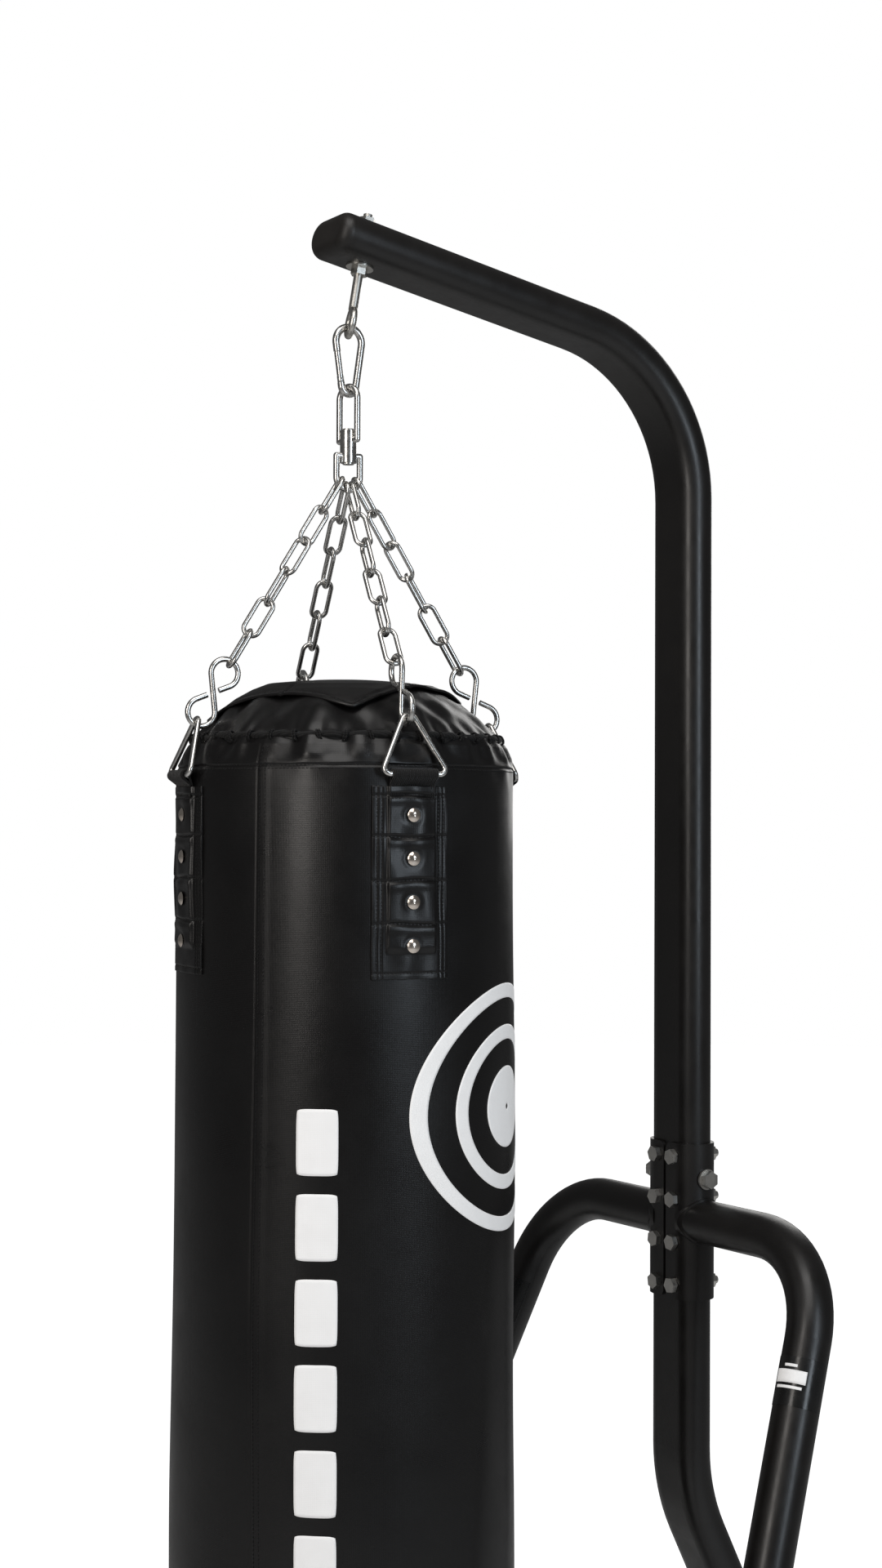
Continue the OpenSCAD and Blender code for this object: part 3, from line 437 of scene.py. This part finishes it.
def twisted(name, base, pitch):
    s = Surface(name, Sheen_Weight=0.08, Sheen_Roughness=0.5, Specular_IOR_Level=0.25)
    tilt = s.node("ShaderNodeMapping", {"Vector": s.where()}, Rotation=(0.5, 0.6, 0.4)).outputs[0]
    strands = s.wave(pitch, "Z", tilt, 1.2)
    # The colour follows the strands: darker between them, which is painted shade in the grooves of
    # the twist.
    s.colour(strands, tuple(c * 0.4 for c in base), base, 0.15, 0.8)
    s.roughness(s.spread(s.noise(500), 0.6, 0.85))
    s.bumps((strands, 0.0006, 0.7), (s.noise(3000, 2), 0.0002, 0.3))
    return s.material


def moulded(name, low, high, gloss, stipple):
    s = Surface(name, Specular_IOR_Level=0.45)
    s.colour(s.noise(16, 3), low, high)
    s.roughness(s.spread(s.noise(60, 3), gloss - 0.05, gloss + 0.08))
    s.bumps((s.noise(stipple, 2, 0.5), 0.0004, 0.28), (s.noise(30, 2), 0.001, 0.06))
    return s.material


def ink(name):
    # The ink also glows faintly (Emission Strength 0.22): a painted glow that makes the print
    # brighter than the lamps make it.
    s = Surface(name, Specular_IOR_Level=0.4, Coat_Weight=0.1, Coat_Roughness=0.3,
                Emission_Color=(1.0, 0.99, 0.98), Emission_Strength=0.22)
    cloth = s.where("UV")
    over = s.wave(VINYL_WEAVE, "X", cloth, 0.4)
    under = s.wave(VINYL_WEAVE, "Y", cloth, 0.4)
    grain = s.math("MULTIPLY", over, under)
    s.colour(s.noise(70, 6, 0.7), (0.90, 0.89, 0.885), (0.97, 0.965, 0.96), 0.25, 0.6)
    s.roughness(s.spread(s.noise(40, 4), 0.38, 0.55))
    s.bumps((s.noise(60, 4, 0.6), 0.0008, 0.12), (grain, 0.0002, 0.25))
    return s.material


LOOKS = {
    "black_frame": powder_coat(
        "powder_coat", (0.0055, 0.0048, 0.0045), (0.0105, 0.0092, 0.0085), 0.36),
    "black_plastic": moulded(
        "moulded_cap", (0.012, 0.0105, 0.0095), (0.020, 0.018, 0.016), 0.40, 900),
    "foot_rubber": moulded("foot_rubber", (0.010, 0.010, 0.010), (0.022, 0.021, 0.020), 0.72, 500),
    "zinc_steel": bright_metal("zinc_plate", (0.56, 0.55, 0.52), (0.72, 0.70, 0.66), 0.26),
    "bright_chain": bright_metal("bright_plate", (0.60, 0.59, 0.57), (0.78, 0.77, 0.75), 0.17),
    "rivet_metal": bright_metal("rivet_head", (0.80, 0.70, 0.61), (0.90, 0.82, 0.74), 0.14),
    "vinyl": coated_cloth("vinyl", (0.0035, 0.0032, 0.0034), (0.0065, 0.0060, 0.0060), 0.30),
    "webbing": woven("webbing", (0.012, 0.0115, 0.0115), 2.0 * MM, "X"),
    "cord": twisted("braided_cord", (0.009, 0.0085, 0.0085), 2.2 * MM),
    "stuffing": woven("stuffing", (0.30, 0.28, 0.25), 4 * MM, "X"),
    "white_print": ink("white_ink"),
    "label_film": moulded("label_film", (0.010, 0.010, 0.010), (0.016, 0.016, 0.016), 0.22, 200),
}
THREAD = twisted("sewing_thread", (0.014, 0.013, 0.013), 0.9 * MM)

for part in frame["record"]["subparts"]:
    node = frame["nodes"][part["node"]]
    node.data.materials.clear()
    node.data.materials.append(LOOKS[part["material_slot"]])


# ---- Bag body ----

def bag_body():
    cols = 600
    az = np.linspace(0, 360, cols, endpoint=False)
    low = FLOOR_Z + FOOT_R * (1 - np.cos(np.linspace(0, pi / 2, 12)))
    wall = np.linspace(low[-1], HEM_Z - 24 * MM, 170)[1:]
    hem = np.linspace(wall[-1], RIM_Z, 56)[1:]
    heights = np.concatenate([low, wall, hem])
    grid_az, grid_z = np.meshgrid(az, heights)
    radius = wall_radius(grid_az, grid_z)
    # The lip turns in at the rim; the bottom has a welt near its edge
    lip = [around(az, radius[-1] - inset * MM, RIM_Z - drop * MM)
           for inset, drop in ((2.0, 0.6), (3.4, 3.0), (3.6, 12))]
    welt = ((0.02, 0), (0.35, 0), (0.7, 0), (0.94, 0), (0.955, 0.8), (0.97, 0))
    bottom = [around(az, radius[0] * share, FLOOR_Z + rise * MM) for share, rise in welt]
    points = np.concatenate([np.stack(bottom), around(grid_az, radius, grid_z), np.stack(lip)])
    count = points.shape[0]
    verts = points.reshape(-1, 3)
    faces = quads(count, cols, True)
    faces.append(tuple(range(cols - 1, -1, -1)))
    last = (count - 1) * cols
    faces.append(tuple(last + c for c in range(cols)))
    turn = np.broadcast_to(np.radians(az) * BAG_R, (count, cols))
    uv = np.stack([turn, points[..., 2]], -1).reshape(-1, 2)
    body = mesh_object("bag_body", verts, faces, LOOKS["vinyl"], "bag", "vinyl", uv)
    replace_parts(body, "bag_shell", "bag_bottom", "filling")


def cap_cover():
    cols, rows = 600, 70
    az = np.linspace(0, 360, cols, endpoint=False)
    share = np.linspace(0, 0.985, rows) ** 1.25
    grid_az, grid_share = np.meshgrid(az, share)
    top = cap_point(grid_az, grid_share)
    under = top[0] - np.array([0, 0, 9 * MM])
    points = np.concatenate([under[None], top])
    faces = quads(rows + 1, cols, True)
    last = rows * cols
    faces.append(tuple(last + c for c in range(cols)))
    faces.append(tuple(range(cols - 1, -1, -1)))
    uv = points[..., :2].reshape(-1, 2)
    cover = mesh_object("cap_cover", points.reshape(-1, 3), faces, LOOKS["vinyl"],
                        "bag", "vinyl", uv)
    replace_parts(cover, "top_cap")


# ---- Flap on the crown: a rounded square that lies over the dome ----

FLAP_CORNER_AZ = PATCH_AZ["right"] - 13.5
FLAP_HALF = 108 * MM
FLAP_SHIFT = (10 * MM, -8 * MM)
FLAP_HEM = 0.92             # hem seam, as a share of the half side
FLAP_SEAMS = (0.12, 0.1)    # the two seams that cross the flap, in u and in v


def flap_point(u, v, lift):
    """u and v run from -1 to 1 across the square; the corners are rounded in."""
    bulge = 1 - 0.05 * (u * v) ** 2 * (np.abs(u) ** 3 + np.abs(v) ** 3)
    x, y = u * FLAP_HALF * bulge + FLAP_SHIFT[0], v * FLAP_HALF * bulge + FLAP_SHIFT[1]
    r = np.hypot(x, y)
    az = FLAP_CORNER_AZ - 45 + np.degrees(np.arctan2(y, x))
    rim = np.maximum(np.abs(u), np.abs(v))
    height = cap_height(r) + lift
    height = height + 1.6 * MM * (1 - smooth_step((1 - rim) / 0.09))
    height = height + 0.5 * MM * waves(FOLDS, 34 * u + 19 * v, 0.3) * (0.7 + 0.3 * rim)
    for across, seam in zip((u, v), FLAP_SEAMS):
        height = height - 1.4 * MM * dip(across - seam, 0.018)
    height = height - 1.3 * MM * dip(rim - FLAP_HEM, 0.014)
    return around(az, r, RIM_Z + height)


def crown_flap():
    count = 131
    line = np.linspace(-1, 1, count)
    u, v = np.meshgrid(line, line)
    verts, faces = slab(flap_point(u, v, 4.2 * MM), flap_point(u, v, 1.2 * MM))
    uv = np.tile(np.stack([u, v], -1).reshape(-1, 2) * FLAP_HALF, (2, 1))
    flap = mesh_object("crown_flap", verts, faces, LOOKS["vinyl"], "bag", "vinyl", uv)
    parts = []
    line = np.linspace(-FLAP_HEM, FLAP_HEM, 60)
    hem = np.full(60, FLAP_HEM)
    for a, b in ((line, -hem), (line, hem), (-hem, line), (hem, line),
                 (line, np.full(60, FLAP_SEAMS[1])), (np.full(60, FLAP_SEAMS[0]), line)):
        parts += stitches(flap_point(a, b, 4.5 * MM), np.tile(UP, (60, 1)))
    thread = mesh_object("flap_stitching", *joined(parts), THREAD, "bag", "cord")


# ---- Lacing: rim cord and its whip turns ----

LACE_R = 0.95 * MM
LACE_GAP = 0.42      # degrees from a turn's middle to each of its two strands


def lacing():
    count = 480
    az = np.linspace(0, 360, count, endpoint=False)
    wobble = 0.35 * MM * waves(FINE, az, 0.2)
    drop = 0.4 * MM * waves(FINE, az, 1.1) - 0.9 * MM * pinch(az, RIM_Z)
    path = around(az, RIM_CORD_R + wobble - 0.8 * MM * pinch(az, RIM_Z), RIM_Z + drop)
    thick = CORD_R * (0.93 - 0.2 * pinch(az, RIM_Z))
    cord = mesh_object("rim_piping", *tube(path, thick, 14, True), LOOKS["cord"], "bag", "cord")
    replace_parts(cord, "rim_cord")
    parts = []
    for i in range(LACES):
        middle = (i + 0.5) * 360 / LACES
        tilt = rng.uniform(-0.9, 0.9)
        turn = np.linspace(0, 2 * pi, 26, endpoint=False)
        for shift in (-LACE_GAP, LACE_GAP):
            az_turn = middle + shift + tilt * np.sin(turn)
            radius = RIM_CORD_R + (CORD_R + 0.4 * MM) * np.cos(turn)
            height = RIM_Z - 1.2 * MM + (CORD_R + 1.6 * MM) * np.sin(turn)
            loop = around(az_turn, radius, height)
            parts.append(tube(loop, LACE_R, 7, True, outward_at(middle + 90)))
    turns = mesh_object("lacing_turns", *joined(parts), LOOKS["cord"], "bag", "cord")
    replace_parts(turns, "lacing_cord")


# ---- Sewn lines on the bag's wall ----

THREAD_LIFT = 0.2 * MM


def wall_path(az, z):
    """Points on the wall and the way out of it at each, for stitches()."""
    az, z = np.broadcast_arrays(np.asarray(az, float), np.asarray(z, float))
    return around(az, wall_radius(az, z) + THREAD_LIFT, z), outward_at(az)


def body_stitching():
    parts = []
    turn = np.linspace(0, 360, 1400)
    for drop in (0.0, 3.4 * MM):
        parts += stitches(*wall_path(turn, HEM_Z - drop))
    climb = np.linspace(FLOOR_Z + 30 * MM, RIM_Z - 8 * MM, 900)
    for off in (1.0, 2.9):
        parts += stitches(*wall_path(SEAM_AZ + off, climb))
    mesh_object("seam_stitching", *joined(parts), THREAD, "bag", "cord")


# ---- Strap patches ----

SEAMS = [RIVET_TOP - (i + 0.5) * RIVET_PITCH for i in range(RIVETS - 1)]
STRAP_HALF = 27 * MM
EDGE_SEAMS = (36.5 * MM, 31.5 * MM)      # two rows of thread down each side
LOW_SEAM = PATCH_LOW + 6 * MM
TOP_SEAM = PATCH_TOP - 9 * MM
PATCH_THREAD = 0.42 * MM


def seam_bow(seam, across):
    """Height of a cross seam, which wanders a little."""
    return seam + 0.8 * MM * np.sin(across / (11 * MM) + seam * 90)


def patch_radius(centre, across, z, lift):
    """Outer radius of a patch: flat borders, a raised strap in the middle, pinched at each seam."""
    az = centre + np.degrees(across / BAG_R)
    wall = wall_radius(az, z)
    border = wall + 1.9 * MM
    crown = np.full_like(wall, PATCH_R)
    raised = smooth_step((STRAP_HALF - np.abs(across)) / (3.2 * MM))
    raised = raised * smooth_step((z - PATCH_LOW - 24 * MM) / (9 * MM))
    shape = border * (1 - raised) + crown * raised
    for seam in SEAMS + [TOP_SEAM]:
        off = z - seam_bow(seam, across)
        shape = shape - 2.3 * MM * dip(off, 1.7 * MM) * (0.35 + 0.65 * raised)
        shape = shape + 0.9 * MM * raised * dip(off + 6 * MM, 4 * MM)
    for i in range(RIVETS):
        away = np.hypot(across, z - (RIVET_TOP - i * RIVET_PITCH))
        shape = shape - 0.8 * MM * dip(away - 8 * MM, 3 * MM) * raised
    for edge in EDGE_SEAMS:
        shape = shape - 0.8 * MM * dip(np.abs(across) - edge, 0.8 * MM)
    shape = shape - 0.8 * MM * dip(z - LOW_SEAM, 0.9 * MM)
    return shape + 0.25 * MM * waves(FINE, az * 1.3, z * 1.7) + lift


def strap_patch(side):
    centre = PATCH_AZ[side]
    across = np.linspace(-PATCH_W / 2, PATCH_W / 2, 90)
    z = np.linspace(PATCH_LOW, PATCH_TOP, 190)
    grid_x, grid_z = np.meshgrid(across, z)
    edge = 1 + 0.006 * np.sin(grid_z * 70 + centre)
    az = centre + np.degrees(grid_x * edge / BAG_R)
    top = around(az, patch_radius(centre, grid_x, grid_z, 0), grid_z)
    bottom = around(az, wall_radius(az, grid_z) - 0.4 * MM, grid_z)
    verts, faces = slab(top, bottom)
    uv = np.tile(np.stack([grid_x, grid_z], -1).reshape(-1, 2), (2, 1))
    patch = mesh_object("strap_patch_" + side, verts, faces, LOOKS["vinyl"], "bag", "vinyl", uv)
    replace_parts(patch, "patch_" + side)

    def sewn(x, height):
        x, height = np.broadcast_arrays(np.asarray(x, float), np.asarray(height, float))
        turn = centre + np.degrees(x / BAG_R)
        return around(turn, patch_radius(centre, x, height, 0.15 * MM), height), outward_at(turn)

    close = {"pitch": 3.9 * MM, "length": 3.0 * MM, "thick": PATCH_THREAD}
    outer, inner = EDGE_SEAMS
    parts = []
    climb = np.linspace(LOW_SEAM, PATCH_TOP - 2 * MM, 160)
    for x in (-outer, -inner, inner, outer):
        parts += stitches(*sewn(x, climb), **close)
    reach = np.linspace(-outer, outer, 70)
    for height in (LOW_SEAM, TOP_SEAM, TOP_SEAM - 3.5 * MM):
        parts += stitches(*sewn(reach, height), **close)
    reach = np.linspace(-44 * MM, 41 * MM, 80)
    inside = np.clip(reach, -41 * MM, 41 * MM)
    for seam in SEAMS:
        parts += stitches(*sewn(inside, seam_bow(seam, reach)), thick=PATCH_THREAD)
    mesh_object("patch_stitching_" + side, *joined(parts), THREAD, "bag", "cord")


def webbing_loop(side):
    """Webbing that goes round the ring's base and down under the patch, front and back."""
    turn = radians(PATCH_AZ[side])
    outward = np.array([sin(turn), -cos(turn), 0])
    along = np.array([cos(turn), sin(turn), 0])
    rod_r, rod_z = BAG_R + 7 * MM, PATCH_TOP + 12 * MM      # the ring's base
    out_r, in_r = 5.7 * MM, 3.4 * MM
    bend = np.linspace(-0.30 * pi, 1.12 * pi, 34)
    across = np.linspace(-24 * MM, 24 * MM, 49)
    tail = PATCH_TOP - 14 * MM

    def profile(outer):
        """Radius and height along the strap, for its inner face (0) or its outer face (1)."""
        r = in_r + (out_r - in_r) * outer
        front = [(BAG_R + (0.6 + 1.3 * outer) * MM, tail),
                 (BAG_R + (1.6 + 1.4 * outer) * MM, PATCH_TOP + (3.3 - 1.3 * outer) * MM)]
        back = [(BAG_R + (0.6 - 1.4 * outer) * MM, PATCH_TOP + 1.5 * MM),
                (BAG_R + (0.4 - 1.4 * outer) * MM, tail)]
        roll = [(rod_r + r * cos(t), rod_z + r * sin(t)) for t in bend]
        return np.array([*front, *roll, *back])

    def face(outer):
        points = profile(outer)
        grid_x, radius = np.meshgrid(across, points[:, 0])
        height = np.broadcast_to(points[:, 1][:, None], radius.shape)
        ribs = 0.22 * MM * np.cos(grid_x * 2 * pi / (4 * MM)) * outer
        return (np.array([BAG_X, BAG_Y, 0]) + (radius + ribs)[..., None] * outward
                + grid_x[..., None] * along + height[..., None] * UP)

    top = face(1)
    verts, faces = slab(top, face(0))
    run = np.linspace(0, 70 * MM, top.shape[0])
    uv = np.tile(np.stack(np.meshgrid(across, run), -1).reshape(-1, 2), (2, 1))
    strap = mesh_object("webbing_loop_" + side, verts, faces, LOOKS["webbing"],
                        "bag", "webbing", uv)
    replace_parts(strap, "strap_" + side)


# ---- Printed film ----

target_low, target_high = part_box("print_target")
TARGET_AZ = PATCH_AZ["right"] + 45
TARGET_Z = (target_low.z + target_high.z) / 2
TARGET_RINGS = ((128, 113, 8), (85, 70, 8), (42, 3, 16))      # outer, inner (mm), rows
BARS = 12
BARS_AZ = PATCH_AZ["right"] - 30
BARS_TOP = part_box("print_bars")[1].z
BAR_PITCH = 84 * MM
BAR_HALF = (21 * MM, 33 * MM)
FILM_OUT, FILM_IN = 0.45 * MM, -0.3 * MM      # faces of the printed film, off the wall


def flat_uv(x, z):
    """The same flat places for a film's outer and inner points."""
    return np.tile(np.stack([x, z], -1).reshape(-1, 2), (2, 1))


def printed(name, parts, uvs, body):
    """One white film from slabs."""
    verts, faces = joined(parts)
    return mesh_object(name, verts, faces, LOOKS["white_print"], body, "white_print",
                       np.vstack(uvs))


def film_point(centre, x, z, lift):
    """A flat drawing seen from the front on the round wall: x is the distance from its middle."""
    az = centre + np.degrees(np.arcsin(np.clip(x / BAG_R, -0.99, 0.99)))
    return around(az, wall_radius(az, z) + lift, z)


def target_print():
    parts, uvs = [], []
    turn = np.linspace(0, 2 * pi, 180, endpoint=False)
    for outer, inner, rows in TARGET_RINGS:
        grid_t, grid_r = np.meshgrid(turn, np.linspace(outer, inner, rows) * MM)
        x, z = grid_r * np.cos(grid_t), TARGET_Z + grid_r * np.sin(grid_t)
        parts.append(ring_slab(film_point(TARGET_AZ, x, z, FILM_OUT),
                               film_point(TARGET_AZ, x, z, FILM_IN)))
        uvs.append(flat_uv(x, z))
    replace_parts(printed("target_print", parts, uvs, "bag"), "print_target")


def bars_print():
    parts, uvs = [], []
    half_w, half_h = BAR_HALF
    u, v = np.meshgrid(np.linspace(-1, 1, 15), np.linspace(-1, 1, 21))
    rounded = 1 - 0.05 * (np.abs(u) ** 5) * (np.abs(v) ** 5)
    for i in range(BARS):
        x = u * half_w * rounded
        z = BARS_TOP - i * BAR_PITCH - half_h + v * half_h * rounded
        az = BARS_AZ + np.degrees(x / BAG_R)
        radius = wall_radius(az, z)
        parts.append(slab(around(az, radius + FILM_OUT, z), around(az, radius + FILM_IN, z)))
        uvs.append(flat_uv(x, z))
    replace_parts(printed("bars_print", parts, uvs, "bag"), "print_bars")


# ---- Generic blocks on the leg labels ----

LEG_R = 25.4 * MM
LEG_DOWN = Vector((0.15, -0.39, -1)).normalized()       # the right leg's slope
LEG_ACROSS = Vector((0.39, 0.15, 0)).normalized()
LABEL_H = 52 * MM
LABEL_TURN = radians(185)
LABEL_BLOCKS = (      # top and low edge (mm down the film), half width (radians)
    (8, 11, 0.30), (14, 28, 0.75), (31, 34, 0.62))
label_low, label_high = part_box("leg_labels")


def label_blocks():
    """White bars on each label film, laid on its round face."""
    back = LEG_ACROSS.cross(LEG_DOWN)
    facing = back * cos(LABEL_TURN) + LEG_ACROSS * sin(LABEL_TURN)
    beside = LEG_DOWN.cross(facing)
    axis, facing, beside = (np.array(v) for v in (LEG_DOWN, facing, beside))

    def on_film(angle, down, radius):
        return (np.asarray(radius)[..., None] * (np.cos(angle)[..., None] * facing
                + np.sin(angle)[..., None] * beside) + down[..., None] * axis)

    angle, down = np.meshgrid(np.linspace(-pi / 2, pi / 2, 61), np.array([0, LABEL_H]))
    film = on_film(angle, down, np.full(angle.shape, LEG_R + 0.4 * MM)).reshape(-1, 3)
    origin = np.array([label_high.x - film[:, 0].max(), label_low.y - film[:, 1].min(),
                       label_low.z - film[:, 2].min()])
    parts, uvs = [], []
    for top, low, half in LABEL_BLOCKS:
        angle, down = np.meshgrid(np.linspace(-half, half, 25), np.linspace(top, low, 5) * MM)
        outer, inner = (on_film(angle, down, np.full(angle.shape, LEG_R + rise * MM)) + origin
                        for rise in (0.7, 0.35))
        for mirror in (1, -1):
            flip = np.array([mirror, 1, 1])
            parts.append(slab(outer * flip, inner * flip))
            uvs.append(flat_uv(angle * LEG_R, down))
    printed("label_blocks", parts, uvs, "stand")


bag_body()
cap_cover()
crown_flap()
lacing()
body_stitching()
for side in SIDES:
    strap_patch(side)
    webbing_loop(side)
target_print()
bars_print()
label_blocks()


# ---- Stage, lights and camera ----

FLOOR_GLOW = 0.05      # emission that other surfaces receive; the camera sees 1
WORLD_GLOW = 0.09
AIM_Z = 1.3
LENS = 51.44

def stage_floor():
    count = 96
    turn = np.linspace(0, 2 * pi, count, endpoint=False)
    verts = [(14 * cos(t), 14 * sin(t), 0) for t in turn]
    mesh = bpy.data.meshes.new("studio_floor")
    mesh.from_pydata(verts, [], [tuple(range(count))])
    floor = bpy.data.objects.new("studio_floor", mesh)
    bpy.context.scene.collection.objects.link(floor)
    s = Surface("pale_floor", Roughness=0.75, Specular_IOR_Level=0.2,
                Emission_Color=(1.0, 1.0, 1.0))
    s.colour(s.noise(2, 3), (0.86, 0.86, 0.86), (0.90, 0.90, 0.90))
    seen = s.node("ShaderNodeLightPath").outputs["Is Camera Ray"]
    s.tree.links.new(s.spread(seen, FLOOR_GLOW, 1.0, 0, 1), s.shader.inputs["Emission Strength"])
    mesh.materials.append(s.material)


def studio_world():
    world = bpy.data.worlds.new("studio")
    world.use_nodes = True
    bpy.context.scene.world = world
    tree = world.node_tree
    background = tree.nodes["Background"]
    path = tree.nodes.new("ShaderNodeLightPath")
    strength = tree.nodes.new("ShaderNodeMapRange")
    strength.inputs["To Min"].default_value = WORLD_GLOW
    strength.inputs["To Max"].default_value = 1.0
    tree.links.new(path.outputs["Is Camera Ray"], strength.inputs["Value"])
    tree.links.new(strength.outputs[0], background.inputs["Strength"])
    background.inputs["Color"].default_value = (1, 1, 1, 1)


def soft_box(name, azimuth, distance, height, size, power, colour):
    """Area light at an azimuth seen from the bag, aimed at the bag's axis."""
    data = bpy.data.lights.new(name, "AREA")
    data.shape = "RECTANGLE"
    data.size, data.size_y = size
    data.energy = power
    data.color = colour
    light = bpy.data.objects.new(name, data)
    bpy.context.scene.collection.objects.link(light)
    turn = radians(azimuth)
    place = Vector((BAG_X + distance * sin(turn), BAG_Y - distance * cos(turn), height))
    aim = Vector((BAG_X, BAG_Y, AIM_Z)) - place
    light.location = place
    light.rotation_euler = aim.to_track_quat("-Z", "Y").to_euler()


def photo_camera():
    """Stands at an azimuth round the bag, looks along another, tilted up and rolled a little."""
    data = bpy.data.cameras.new("photo_camera")
    data.sensor_width = 36
    data.lens = LENS
    data.clip_start, data.clip_end = 0.05, 60
    camera = bpy.data.objects.new("photo_camera", data)
    bpy.context.scene.collection.objects.link(camera)
    stand, look, pitch, roll = radians(59.08), radians(56.67), radians(1.08), radians(0.235)
    distance, height = 2.4085, 1.600
    forward = Vector((-sin(look) * cos(pitch), cos(look) * cos(pitch), sin(pitch)))
    right = Vector((cos(look), sin(look), 0))
    up = right.cross(forward)
    turned_right = right * cos(roll) + up * sin(roll)
    turned_up = up * cos(roll) - right * sin(roll)
    axes = Matrix((turned_right, turned_up, -forward)).transposed().to_4x4()
    place = Vector((BAG_X + distance * sin(stand), BAG_Y - distance * cos(stand), height))
    camera.matrix_world = Matrix.Translation(place) @ axes
    bpy.context.scene.camera = camera
    bpy.context.scene.view_settings.view_transform = "Standard"


stage_floor()
studio_world()
soft_box("key", 25, 2.6, 2.3, (0.7, 1.8), 22, (1.0, 0.95, 0.90))
soft_box("window", 100, 2.7, 2.1, (0.6, 1.6), 18, (0.80, 0.90, 1.0))
soft_box("top", 60, 1.2, 3.6, (1.6, 1.6), 22, (1.0, 0.98, 0.96))
soft_box("back", 215, 2.6, 2.4, (1.2, 1.8), 12, (1.0, 0.99, 0.97))
photo_camera()
